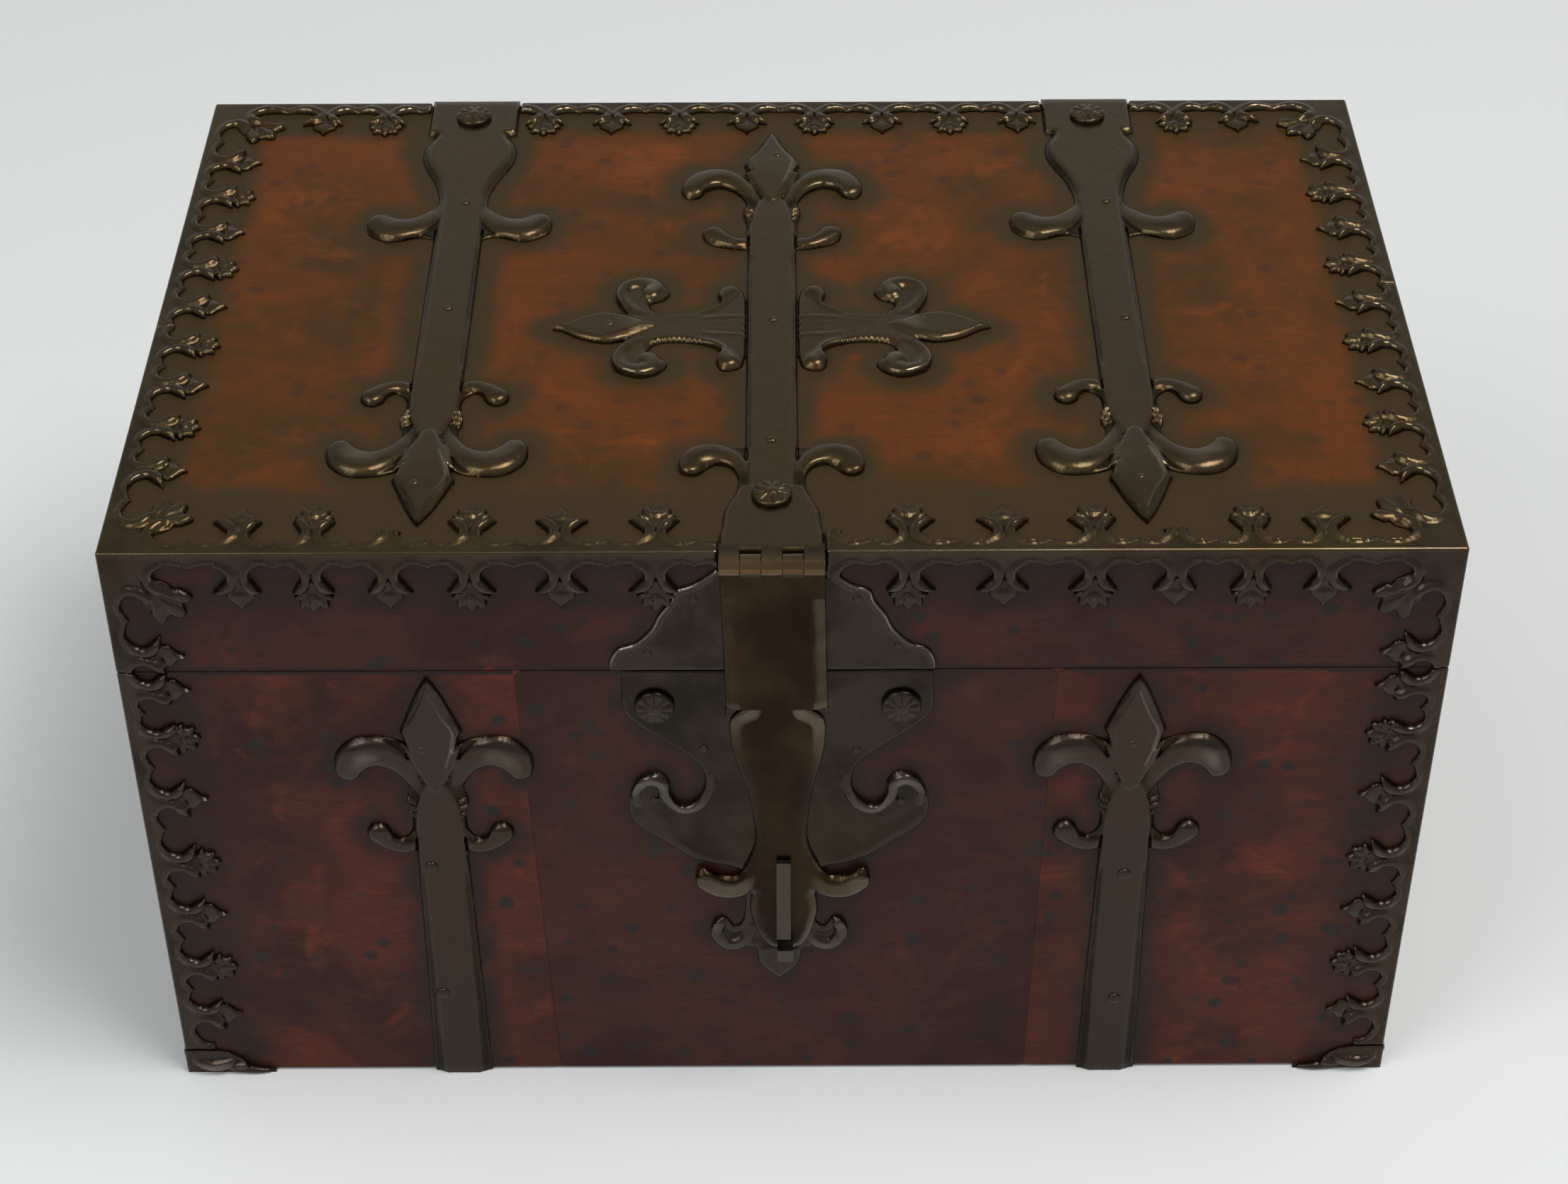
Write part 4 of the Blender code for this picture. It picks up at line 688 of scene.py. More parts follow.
def inside_outline(u, v, outline):
    """Distance to the nearest side, positive where a level line crosses an odd number of sides."""
    nearest, odd = np.full(u.shape, 1e9), np.zeros(u.shape, bool)
    for (au, av), (bu, bv) in zip(outline, np.roll(outline, -1, 0)):
        eu, ev = bu - au, bv - av
        length = eu * eu + ev * ev
        if length < 1e-12:
            continue
        share = np.clip(((u - au) * eu + (v - av) * ev) / length, 0, 1)
        nearest = np.minimum(nearest, (u - au - share * eu) ** 2 + (v - av - share * ev) ** 2)
        if av != bv:
            odd ^= ((av > v) != (bv > v)) & (u < au + (v - av) * eu / ev)
    return np.where(odd, 1, -1) * np.sqrt(nearest)


def stroke(u, v, knots):
    """The height of a half-round ridge along a curve, each knot (u, v, half width, height)."""
    line = curve_through(knots, closed=False)
    best = np.zeros(u.shape)
    for (au, av, aw, ah), (bu, bv, bw, bh) in zip(line[:-1], line[1:]):
        eu, ev = bu - au, bv - av
        share = np.clip(((u - au) * eu + (v - av) * ev) / (eu * eu + ev * ev + 1e-9), 0, 1)
        away = np.hypot(u - au - share * eu, v - av - share * ev)
        best = np.maximum(best, (ah + share * (bh - ah)) * dome(away / (aw + share * (bw - aw))))
    return best


def strokes(u, v, curves):
    """The highest of several ridges."""
    return np.maximum.reduce([stroke(u, v, knots) for knots in curves])


def two_sided(side):
    """A closed outline from its right side, both ends on or near the middle line."""
    side = np.asarray(side, float)
    return curve_through(np.concatenate([side, side[::-1] * (-1, 1)]))


def doubled(points):
    """Each point twice, for corners that stay sharp."""
    return [point for point in points for _ in range(2)]


def scaled_points(shares, reach, length):
    return [(a * reach, b * length) for a, b in shares]


# %% [markdown]
# ## Fleur-de-lis and baluster
#
# The straps end in a fleur-de-lis: a facetted point, two large scrolled arms, three ribs at the
# neck and two small arms. Above, the hinge straps swell like a baluster and throw out two more
# arms. The shaft between is flat with a bevel on each side.

# %% Fleur-de-lis
FLEUR = [
    (0.13, 0.1), (0.3, 0.29), (0.3, 0.29), (0.235, 0.375), (0.235, 0.375), (0.46, 0.335), (0.76, 0.335),
    (0.96, 0.41), (1.0, 0.5), (0.94, 0.565), (0.8, 0.56), (0.72, 0.505), (0.56, 0.48), (0.39, 0.525),
    (0.28, 0.62), (0.315, 0.7), (0.28, 0.775), (0.29, 0.865), (0.39, 0.912), (0.48, 0.893), (0.53, 0.845),
    (0.63, 0.822), (0.73, 0.848), (0.75, 0.9), (0.66, 0.955), (0.46, 0.988), (0.262, 1.0), (0.262, 1.0),
]
BALUSTER = [
    (0.43, 0.02), (0.52, 0.14), (0.5, 0.28), (0.34, 0.48), (0.27, 0.66), (0.36, 0.76), (0.55, 0.83),
    (0.76, 0.77), (0.93, 0.78), (1.0, 0.87), (0.95, 0.96), (0.72, 1.02), (0.42, 0.98),
    (0.262, 1.0), (0.262, 1.0),
]
SHAFT, THICK, THIN = 9.2, 2.4, 1.0
FLEUR_SIZE, BALUSTER_SIZE = (35.2, 84.0), (35.5, 76.0)
FLEUR_STRETCH, FLEUR_END, POINT_END = 90, 92, 53
WOOD = np.array([229.0, 146.0, 255.0])


def fleur_side(tip, toward):
    return [(0, tip)] + [(a, tip + toward * b) for a, b in scaled_points(FLEUR, *FLEUR_SIZE)]


def baluster_side(start, toward):
    return [(a, start + toward * b) for a, b in scaled_points(BALUSTER, *BALUSTER_SIZE)]


def slope(depth, width, low=THIN):
    """From a low face up to the strap's thickness, over a width from an edge."""
    return low + (THICK - low) * np.clip(depth / width, 0, 1)


POINT_HALF = ([0, 1, 9, 16.7, 21.7, 24.5, 33, 41, 51, 53],
              [0.3, 2.5, 5.0, 8.0, 10.8, 11.6, 10.0, 7.5, 2.6, 0])
NECK_HALF = ([44, 52, 60, 68, 76], [0, 5.4, 8.0, 8.8, SHAFT])
BIG_ARM = [(4.0, 56, 2.2, 0.6), (7.5, 48, 3.0, 1.1), (12.2, 40, 4.3, 2.0), (19.0, 34.8, 6.2, 2.8),
           (26, 36, 6.6, 3.1), (30.0, 41.8, 5.6, 2.7)]
SMALL_ARM = [(8.6, 79.4, 2.6, 1.0), (14.0, 80.2, 3.0, 1.6), (18.5, 77.6, 3.8, 2.1), (22.2, 73.8, 4.4, 2.4)]
RIBS = [[(8.0, at + 0.8, 0.9, 1.6), (11.2, at - 0.8, 1.0, 1.6)] for at in (57.4, 60.6, 63.8)]
BALUSTER_ARM = [(7, 55, 3, 0.5), (12, 62.5, 4.6, 1.5), (18, 68.5, 6.0, 2.3), (25, 69.8, 6.8, 2.8),
                (30.6, 65.4, 5.4, 2.5)]


def fleur_face(across, along, face):
    """Puts the fleur's relief on a face, along measured from its tip."""
    a = np.abs(across)
    neck = slope(np.interp(along, *NECK_HALF) + 0.4 - a, 1.8)
    ornament = np.maximum(neck, THIN + strokes(a, along, [BIG_ARM, SMALL_ARM, *RIBS]))
    depth = 0.85 * (np.interp(along, *POINT_HALF) - a)
    edge = np.interp(along, [0, 10, 34, 52], [0.9, 1.0, 2.1, 2.4])
    point = edge + np.minimum(depth * 0.7, np.interp(along, [0, 24, 50], [2.3, 1.9, 0.8]))
    ornament = np.where((depth > 0) & (along < POINT_END), point, ornament)
    return np.where(along < FLEUR_END, ornament, face)


def point_painted_shade_and_highlight(across, along):
    """Painted shade on the left bevel of the fleur's point, a little painted light on the right one,
    and a painted highlight along the bevels' inner edge, strongest on the right.
    """
    depth = np.interp(along, *POINT_HALF) - np.abs(across)
    bevel = ramp(depth, 0.2, 0.8) * (1 - ramp(depth, 3.2, 3.9)) * (along < 46)
    line = np.exp(-(((depth - 3.7) / 0.5) ** 2)) * (along < 40)
    return np.where(across > 0, 0.1 * bevel + 0.35 * line, 0.12 * line - 0.3 * bevel)


def baluster_face(across, along, inside, face):
    """The swelling has a wide bevel, and its arms are strokes."""
    swell, share = slope(inside, 3.4, THIN - 0.2), ramp(along, 44, 56)
    face = np.where((along > -1) & (along < 58), swell * (1 - share) + face * share, face)
    arm = THIN + stroke(np.abs(across), along, BALUSTER_ARM)
    return np.where(along > 50, np.maximum(face, arm), face)


def hinge_strap_face(start):
    """The plain head beyond a start line and the baluster below it."""
    def change(u, v, inside, face):
        face = np.where(v > start - 1, slope(inside, 1.6), face)
        return baluster_face(u, start - v, inside, face)
    return change


def plate_lines(low, high, fine, coarse=3.0, pitch=0.6):
    """Grid lines, close where a stretch holds ornament and wide on the plain shaft."""
    lines, at = [], low
    for start, end in fine + [(high, high)]:
        between = coarse if start - at > coarse else pitch
        for first, last, step in ((at, start, between), (start, end, pitch)):
            if last > first:
                lines.append(np.linspace(first, last, max(2, int((last - first) / step)))[:-1])
        at = max(at, end)
    return np.append(np.concatenate(lines), high)


def flat_lay(origin, across, along, out):
    """Flat directions and a height as places, in millimetres."""
    origin, across, along, out = (np.array(a, float) for a in (origin, across, along, out))

    def lay(u, v, height):
        return origin + u[:, None] * across + v[:, None] * along + height[:, None] * out
    return lay


def on_top(x=0, y=0, level=WOOD[2]):
    return flat_lay((x, y, level), (1, 0, 0), (0, 1, 0), (0, 0, 1))


def on_front(x=0, z=0, level=WOOD[1]):
    return flat_lay((x, -level, z), (1, 0, 0), (0, 0, 1), (0, -1, 0))


def on_back(x):
    return flat_lay((x, WOOD[1], 0), (-1, 0, 0), (0, 0, 1), (0, 1, 0))


def strap_field(outline, from_tip, change=None):
    """The field of a strap: its outline, its bevelled shaft and fleur, then what changes the face."""
    def field(u, v):
        inside, along = inside_outline(u, v, outline), from_tip(v)
        face = fleur_face(u, along, slope(SHAFT + 0.3 - np.abs(u), 3.4))
        if change:
            face = change(u, v, inside, face)
        # A painted highlight along the top of every bevel, the rim's rubbed and painted highlight line, and
        # the point's painted shade and highlight.
        bevel_top_painted_highlight = 0.5 * np.exp(-(((THICK - face) / 0.2 - 1) ** 2)) * (inside > 1)
        return *softened(inside, face, 0.9, 0.85), bevel_top_painted_highlight + point_painted_shade_and_highlight(u, along) + 0.4 * rim_rub_and_painted_highlight(inside)
    return field


# %% Straps of the front and the lid
ACROSS_LINES = np.linspace(-36.6, 36.6, 123)
strap_top = BODY_TOP - 2.2
front_outline = two_sided(fleur_side(strap_top, -1) + doubled([(SHAFT + 1.8, 0)]))
front_field = strap_field(front_outline, lambda v: strap_top - v)
front_lines = plate_lines(0, strap_top, [(strap_top - FLEUR_STRETCH, strap_top)])
lid_tip, lid_start, lid_end = -132.0, 121.5, 148.4
lid_outline = two_sided(fleur_side(lid_tip, 1) + baluster_side(lid_start, -1)[::-1]
                        + doubled([(HEAD, lid_start), (HEAD, lid_end)]))
lid_field = strap_field(lid_outline, lambda v: v - lid_tip, hinge_strap_face(lid_start))
lid_lines = plate_lines(lid_tip, lid_end, [(lid_tip, lid_tip + FLEUR_STRETCH), (40, 124)])
for side, word in SIDES:
    plate("strap_front_" + word, ACROSS_LINES, front_lines, front_field, on_front(side * STRAP_X),
          "bronze", "case", "front_strap_" + word, plain=THICK)
    plate("strap_lid_" + word, ACROSS_LINES, lid_lines, lid_field, on_top(side * STRAP_X),
          "bronze", "lid", "lid_strap_" + word, plain=THICK)

# %% [markdown]
# ## Middle of the lid
#
# The centre strap ends at the front in the fixed half of the hasp's hinge. Two shorter fleurs lie
# across it. Their curls wind back on themselves, and fine ribs run along their edges.

# %% Centre strap and cross arms
CENTRE_ARM = [(0.53, 0.22), (0.5, 0.4), (0.4, 0.55), (0.36, 0.7), (0.44, 0.82), (0.62, 0.85), (0.8, 0.75),
              (0.95, 0.76), (1.0, 0.86), (0.88, 1.0), (0.6, 1.03)]
CENTRE_CURL = [(7.0, 35, 1.8, 0.3), (9.8, 43.5, 3.0, 1.0), (14.5, 50.2, 4.6, 1.9), (21, 53.2, 5.6, 2.6),
               (27, 50.6, 5.4, 2.7), (28.6, 45.6, 4.6, 2.3)]
CENTRE_SIZE = (32.2, 56.0)
centre_tip, centre_front = 121.5, -146.0
centre_side = fleur_side(centre_tip, -1) + doubled([(SHAFT, centre_front + 58)])
centre_side += [(a, centre_front + b) for a, b in scaled_points(CENTRE_ARM, *CENTRE_SIZE)][::-1]
centre_side += doubled([(HEAD, centre_front + 8), (HEAD, centre_front - 1)])
centre_outline = two_sided(centre_side)


def centre_arms(u, v, inside, face):
    """The hinge's plain head, with two arms above it."""
    s, a = v - centre_front, np.abs(u)
    face = np.where(s < 3, slope(HEAD - a, 1.8), np.where(s < 34, slope(inside, 1.8), face))
    return np.where(s < 66, np.maximum(face, THIN + stroke(a, s, CENTRE_CURL)), face)


centre_field = strap_field(centre_outline, lambda v: centre_tip - v, centre_arms)
centre_lines = plate_lines(centre_front - 1, centre_tip, [(centre_front - 1, centre_front + 62),
                                                          (centre_tip - FLEUR_STRETCH, centre_tip)])
plate("strap_centre", ACROSS_LINES, centre_lines, centre_field, on_top(CENTRE_X),
      "bronze", "lid", "centre_strap", plain=THICK)

# %% Cross arms
CROSS_SIZE, CROSS_Y = (80.5, 31.0), -15.0
CROSS = [
    (0.128, 0.54), (0.14, 0.8), (0.22, 0.86), (0.25, 0.7), (0.23, 0.48), (0.32, 0.33), (0.44, 0.28),
    (0.53, 0.33), (0.56, 0.5), (0.5, 0.6), (0.47, 0.76), (0.52, 0.94), (0.6, 1.0), (0.69, 0.88),
    (0.72, 0.66), (0.69, 0.42), (0.66, 0.26), (0.75, 0.3), (0.86, 0.22), (0.95, 0.06),
]
cross_half = doubled([(9.5, 16.7)]) + scaled_points(CROSS, *CROSS_SIZE)[1:] + [(CROSS_SIZE[0], 0)]
cross_outline = curve_through(np.array(cross_half + [(a, -b) for a, b in cross_half[-2::-1]]))
CROSS_CURL = [(42.5, 6.5, 2.4, 0.6), (51.5, 10.5, 3.2, 1.5), (56.2, 17.5, 3.6, 2.1), (55.2, 25.2, 3.8, 2.3),
              (49.2, 28.2, 4.0, 2.4), (43.9, 25.6, 4.0, 2.5), (44.8, 21.3, 4.2, 2.8)]
CROSS_SMALL = [(29, 7.0, 2.4, 0.6), (21.5, 11.5, 3.2, 1.5), (18.6, 17.0, 3.8, 2.0), (15.6, 22.0, 4.0, 2.4)]
CROSS_RIBS = [[(10, 6.0, 1.4, 0.9), (20, 5.4, 1.6, 1.3), (32, 3.4, 1.2, 0.5)],
              [(10, 2.2, 1.2, 0.7), (20, 2.0, 1.4, 1.0), (34, 1.2, 1.0, 0.4)]]
CROSS_POINT = ([0, 1, 6, 12, 18, 24, 32, 38], [0.3, 1.6, 5.0, 8.6, 10.8, 9.0, 4.5, 0])


def cross_field(u, v):
    """Curls and ribs on a thin plate, with a facetted point at its end. u runs out from the middle."""
    inside, b = inside_outline(u, v, cross_outline), np.abs(v)
    face = THIN + 0.9 * np.clip(inside / 2.0, 0, 1)
    raised = strokes(u, b, [CROSS_CURL, CROSS_SMALL, *CROSS_RIBS])
    hatch = 0.35 * np.cos(u * 2 * math.pi / 1.9) * ramp(b, 4.5, 7.5) * (u > 25) * (u < 44) * (b < 12)
    face = np.maximum(face, THIN + raised) + hatch
    depth = 0.85 * (np.interp(CROSS_SIZE[0] - u, *CROSS_POINT) - b)
    point = np.interp(u, [44, 52, 62, 80], [2.2, 2.2, 1.2, 0.9]) + np.minimum(depth * 0.5, 1.5)
    face = np.where((depth > 0) & (u > 42), point, face)
    # The rim gets a rubbed and painted highlight line.
    return *softened(inside, face, 0.9, 0.85), 0.4 * rim_rub_and_painted_highlight(inside)


cross_us, cross_vs = np.linspace(9.4, 81, 121), np.linspace(-32.4, 32.4, 109)
for side, word in SIDES:
    lay = flat_lay((CENTRE_X, CROSS_Y, WOOD[2]), (side, 0, 0), (0, 1, 0), (0, 0, 1))
    plate("cross_" + word, cross_us, cross_vs, cross_field, lay,
          "bronze", "lid", "cross_arm_" + word, plain=2.0)

# %% [markdown]
# ## Hasp, striker and lock plate
#
# The hasp is the one heavy piece: a plate with ground bevels, a baluster and two scrolls. It
# leans a little to the right. The plates behind it are thin, with chased scrolls on their edges.

# %% Hasp
HASP_TOP, HASP_LENGTH, LEAN, STEP = 253.55, 186.5, 4.0, 66.5
HASP_NECK, HASP_REACH = 9.5, 31.8
hasp_side = doubled([(HEAD, 4.0), (HEAD, STEP)]) + scaled_points(
    [(0.62, 0.36), (0.62, 0.36), (0.9, 0.385), (0.94, 0.43), (0.85, 0.49), (0.64, 0.57)],
    HEAD, HASP_LENGTH)
hasp_side += scaled_points([(1.05, 0.635), (1.0, 0.7)], HASP_NECK, HASP_LENGTH)
hasp_side += scaled_points(
    [(0.39, 0.755), (0.53, 0.792), (0.72, 0.79), (0.92, 0.773), (1.0, 0.796), (0.93, 0.83),
     (0.72, 0.85), (0.5, 0.848), (0.37, 0.842), (0.39, 0.885), (0.31, 0.948), (0.16, 0.99)],
    HASP_REACH, HASP_LENGTH)
hasp_outline = two_sided(hasp_side)
HASP_ARM = [(7.5, 138, 2.2, 0.5), (10.5, 147.0, 3.4, 1.6), (16.0, 153.0, 4.6, 2.4), (22.5, 153.2, 5.0, 2.9),
            (28.0, 149.6, 4.6, 2.9)]
HASP_BEVEL = ([66, 80, 100, 125, 140, 152, 186], [5.6, 5.2, 4.0, 2.4, 2.6, 4.4, 3.4])
# How strong the painted sheen on the hasp's bevels is along its length, most at the shoulders.
HASP_PAINTED_SHEEN = ([17, 62, 68, 78, 90, 106, 136, 150, 180],
               [0.58, 0.54, 1.0, 0.82, 0.52, 0.34, 0.42, 0.7, 0.66])


def hasp_field(u, v):
    """Down from the hinge: a bevelled plate, a step, a baluster, arms and a tail."""
    across = u - LEAN * v / HASP_LENGTH
    inside, a = inside_outline(across, v, hasp_outline), np.abs(across)
    flank = ramp(v, 16, 17.2)
    wide = np.interp(v, *HASP_BEVEL)
    plain = 2.4 - 1.5 * np.clip((a - 12.6) / 5.2, 0, 1) * flank
    face = np.where(v < STEP, plain, 0.9 + 1.5 * np.clip(inside / wide, 0, 1))
    arm = np.where(v > 134, stroke(a, v, HASP_ARM), 0)
    face = np.maximum(face, np.where(arm > 0, 0.9 + arm, 0))
    bevel = np.where(v < STEP, ramp(a, 12.2, 13.0) * flank, 1 - ramp(inside / wide, 0.85, 1.0))
    # Painted sheen on the bevels, stronger on the right side than on the left, and painted highlights on the
    # arms' crowns.
    bright = np.interp(v, *HASP_PAINTED_SHEEN) * (1 + 0.2 * np.sign(across))
    bright = bright * (0.6 + 0.4 * ramp(wide - inside, 0, 3))
    wear_and_painted_sheen = LIFT_PER_MM * (THICK - face) + bright * bevel * (arm <= 0) + 0.8 * ramp(arm, 0.8, 2.2)
    return *softened(inside, face, 0.7, 0.6), wear_and_painted_sheen


hasp_lay = flat_lay((CENTRE_X, -147.3, HASP_TOP), (1, 0, 0), (0, 0, -1), (0, -1, 0))
plate("hasp_relief", np.linspace(-34, 38, 121), plate_lines(4, 187, [(11, 21), (60, 187)]), hasp_field,
      hasp_lay, "dark_bronze", "hasp", "hasp", plain=THICK)

# %% Striker and lock plate
STRIKER = [(1.0, 0.1), (0.95, 0.22), (0.84, 0.28), (0.74, 0.42), (0.69, 0.56), (0.62, 0.7),
           (0.59, 0.8), (0.48, 0.86), (0.34, 1.0)]
STRIKER_HALF, STRIKER_HEIGHT = 56.2, 44.5
striker_side = doubled([(STRIKER_HALF, 0)]) + scaled_points(STRIKER, STRIKER_HALF, STRIKER_HEIGHT)
striker_outline = two_sided(striker_side + doubled([(0.34 * STRIKER_HALF, STRIKER_HEIGHT)]))


def striker_field(u, v):
    """A thin plate with a roll along its edge."""
    inside = inside_outline(u, v, striker_outline)
    roll = 0.65 * dome((inside - 1.3) / 1.3) * (v > 3)
    # The rim gets a rubbed and painted highlight line.
    return *softened(inside, 0.75 + roll, 0.9, 0.45), 0.9 * rim_rub_and_painted_highlight(inside) * (v > 1)


plate("striker_relief", np.linspace(-57, 57, 191), np.linspace(0, 45, 76), striker_field,
      on_front(CENTRE_X, LID_BOTTOM), "plate_bronze", "lid", "striker_plate", plain=1.1)

LOCK = [
    (0.13, 0.05), (0.17, 0.108), (0.31, 0.104), (0.42, 0.122), (0.47, 0.16), (0.44, 0.2),
    (0.37, 0.212), (0.3, 0.178), (0.235, 0.22), (0.235, 0.35), (0.32, 0.382), (0.45, 0.393),
    (0.59, 0.418), (0.75, 0.466), (0.92, 0.515), (0.99, 0.565), (0.975, 0.625), (0.91, 0.674),
    (0.79, 0.688), (0.715, 0.66), (0.71, 0.618), (0.64, 0.588), (0.55, 0.602), (0.49, 0.64),
    (0.49, 0.69), (0.57, 0.735), (0.75, 0.79), (0.93, 0.845), (1.0, 0.89),
]
LOCK_X, LOCK_HALF, LOCK_HEIGHT = -1.7, 54.0, 152.0
SLOT, SLIT, KEYHOLE = (0, 102.75, 2.7, 19.75), (-3.0, 133.0, 0.9, 5.5), (-3.0, 138.0, 2.4)
LOCK_BOTTOM = BODY_TOP - LOCK_HEIGHT
lock_side = doubled([(0, 0)]) + scaled_points(LOCK, LOCK_HALF, LOCK_HEIGHT)
lock_side += doubled([(LOCK_HALF, LOCK_HEIGHT)])
lock_outline = two_sided(lock_side)
LOCK_SCROLL = [(50.2, 90, 1.4, 0.5), (50.8, 97, 2.3, 1.5), (46.0, 101.9, 2.7, 1.9), (41.4, 99.6, 2.6, 1.8),
               (40.0, 93.6, 2.4, 1.7), (34.6, 88.0, 2.5, 1.8), (28.4, 89.8, 2.5, 1.7), (24.8, 96.5, 2.0, 1.2),
               (24.6, 103, 1.3, 0.4)]
LOCK_CURL = [(22.4, 29.4, 3.0, 1.8), (23.2, 24.5, 2.8, 1.7), (19.0, 18.6, 2.8, 1.7), (13.0, 20.6, 2.6, 1.6),
             (9.5, 27.0, 1.8, 0.8)]


def outside_box(u, v, middle_u, middle_v, half_u, half_v):
    return np.maximum(np.abs(u - middle_u) - half_u, np.abs(v - middle_v) - half_v)


def lock_field(u, v):
    """The plate with its chased scrolls, the tall slot for the staple and the keyhole."""
    inside = inside_outline(u, v, lock_outline)
    a = np.abs(u)
    big, small = 1.3 * stroke(a, v, LOCK_SCROLL), 1.2 * stroke(a, v, LOCK_CURL)
    rim = 0.45 * dome((inside - 1.5) / 1.6) * (v < 84)
    point = np.where(v < 17, np.minimum(inside * 0.3, 1.0), 0)
    x, z = u + LOCK_X, v + LOCK_BOTTOM
    hole = np.hypot(x - KEYHOLE[0], z - KEYHOLE[1]) - KEYHOLE[2]
    cuts = np.minimum(np.minimum(outside_box(x, z, *SLOT), hole), outside_box(x, z, *SLIT))
    # A faint rubbed and painted highlight line along the plate's rim.
    lock_rim_rub_and_highlight = 0.15 * rim_rub_and_painted_highlight(inside) * (v < 140)
    inside = np.minimum(inside, cuts)
    return *softened(inside, 0.7 + np.maximum(np.maximum(big, small), rim) + point, 0.9, 0.4), lock_rim_rub_and_highlight


plate("lock_plate_relief", np.linspace(-55, 55, 193), np.linspace(-1, LOCK_HEIGHT, 256), lock_field,
      on_front(LOCK_X, LOCK_BOTTOM), "plate_bronze", "case", "lock_plate", plain=1.1)

# %% [markdown]
# ## Rear leaves and knuckles
#
# The rear leaf repeats the lid strap's forms down the back. A knuckle is a bored barrel with a
# root that runs into its leaf: one closed profile, carried along the pin.

# %% Rear leaves
leaf_tip, leaf_start, leaf_end = 17.0, JOINT_Z - 24.5, JOINT_Z - 4.15
leaf_outline = two_sided(fleur_side(leaf_tip, 1) + baluster_side(leaf_start, -1)[::-1]
                         + doubled([(HEAD, leaf_start), (HEAD, leaf_end)]))
leaf_field = strap_field(leaf_outline, lambda v: v - leaf_tip, hinge_strap_face(leaf_start))
leaf_lines = np.linspace(leaf_tip, leaf_end, 303)
for side, word in SIDES:
    plate("leaf_" + word, ACROSS_LINES, leaf_lines, leaf_field, on_back(side * STRAP_X),
          "bronze", "case", "rear_leaf_" + word, plain=THICK)

# %% Knuckles
BARREL, BORE, ROOT, AXIS_GAP, END_GAP = 3.8, 1.7, 6.65, 3.85, 0.15
STOP_TURN, STOP_REACH, STOP_HALF = math.radians(15), 7.0, 1.1
LEAF_INNER, LEAF_OUTER = -BARREL, THICK - BARREL - 0.1


def barrel_arc(turn, radius):
    return np.stack([np.cos(turn), np.sin(turn)], 1) * radius


def outer_arc(turns, tongue):
    """The barrel's outer arc, with the square tongue that stops the open lid where there is one."""
    if not tongue:
        return barrel_arc(turns, BARREL)
    low, far = math.asin(STOP_HALF / BARREL), math.asin(STOP_HALF / STOP_REACH)
    corners = [barrel_arc(np.array([STOP_TURN + turn]), radius)
               for turn, radius in ((-low, BARREL), (-far, STOP_REACH), (far, STOP_REACH), (low, BARREL))]
    before, after = turns[turns < STOP_TURN - low], turns[turns > STOP_TURN + low]
    return np.concatenate([barrel_arc(before, BARREL), *corners, barrel_arc(after, BARREL)])


def knuckles(name, axis, out, along, first, count, finish, body, tongue=False):
    """Every second barrel of a hinge, with the root that runs into its leaf.

    The profile goes round the barrel by angle from the face away from the leaf. It is closed in
    two halves, each with half of the bore, so that no face has a hole.
    """
    axis, out, along = (np.array(a, float) for a in (axis, out, along))
    arcs = ((-90, 90, 17), (180, 270, 9), (270, 90, 17))
    near, far, back = (np.radians(np.linspace(*ends)) for ends in arcs)
    turned = np.radians(np.linspace(90, math.degrees(math.acos(LEAF_OUTER / BARREL)), 5))
    corners = np.array([(LEAF_OUTER, ROOT), (LEAF_INNER, ROOT)])
    root = np.concatenate([barrel_arc(turned, BARREL), corners, barrel_arc(far, BARREL)])
    step = 2 * HEAD / count
    points, faces, start = [], [], 0
    for low in -HEAD + step * np.arange(first, count, 2):
        for rim, bore in ((outer_arc(near, tongue), near[::-1]), (root, back)):
            half = np.concatenate([rim, barrel_arc(bore, BORE)])
            flat = axis + half[:, :1] * out + half[:, 1:] * along
            size = len(half)
            points += [flat + (low + END_GAP, 0, 0), flat + (low + step - END_GAP, 0, 0)]
            ring = start + np.arange(size)
            faces += [ring.tolist(), (ring[::-1] + size).tolist()]
            walls = np.stack([ring, ring + size, np.roll(ring, -1) + size, np.roll(ring, -1)], 1)
            # The halves touch along two walls, which are left out.
            faces += np.delete(walls, [len(rim) - 1, size - 1], axis=0).tolist()
            start += 2 * size
    points = np.concatenate(points)
    mesh = bpy.data.meshes.new(name)
    mesh.from_pydata(points * MM, [], faces)
    add_attribute(mesh, "lift", 0.8 * (1 - ramp((points - axis) @ along, -0.5, 3.0)))
    finish_piece(name, mesh, finish, body, 40, weld=True)


hasp_axis = (CENTRE_X, -151.15, HASP_TOP)
knuckles("knuckles_centre", hasp_axis, (0, 0, -1), (0, 1, 0), 0, 5, "gold_bronze", "lid")
knuckles("knuckles_hasp", hasp_axis, (0, -1, 0), (0, 0, -1), 1, 5, "gold_bronze", "hasp")
for side, word in SIDES:
    hinge = (side * STRAP_X, WOOD[1] + AXIS_GAP, JOINT_Z)
    knuckles("knuckles_lid_" + word, hinge, (0, 1, 0), (0, 0, 1), 0, 3, "bronze", "lid", tongue=True)
    knuckles("knuckles_leaf_" + word, hinge, (0, 1, 0), (0, 0, -1), 1, 3, "bronze", "case")


def upright_field(u, v):
    """The strap's end, turned down the back of the lid."""
    across = HEAD - np.abs(u)
    inside = np.minimum(across, np.minimum(v - JOINT_Z - ROOT + 2.5, WOOD[2] - 0.05 - v))
    return softened(inside, slope(across, 1.6, THICK - 0.9), 0.5, 0.2)


back_us, back_vs = np.linspace(-18, 18, 61), np.linspace(JOINT_Z + 3, WOOD[2], 40)
for side, word in SIDES:
    plate("strap_back_" + word, back_us, back_vs, upright_field, on_back(side * STRAP_X),
          "bronze", "lid", plain=THICK)

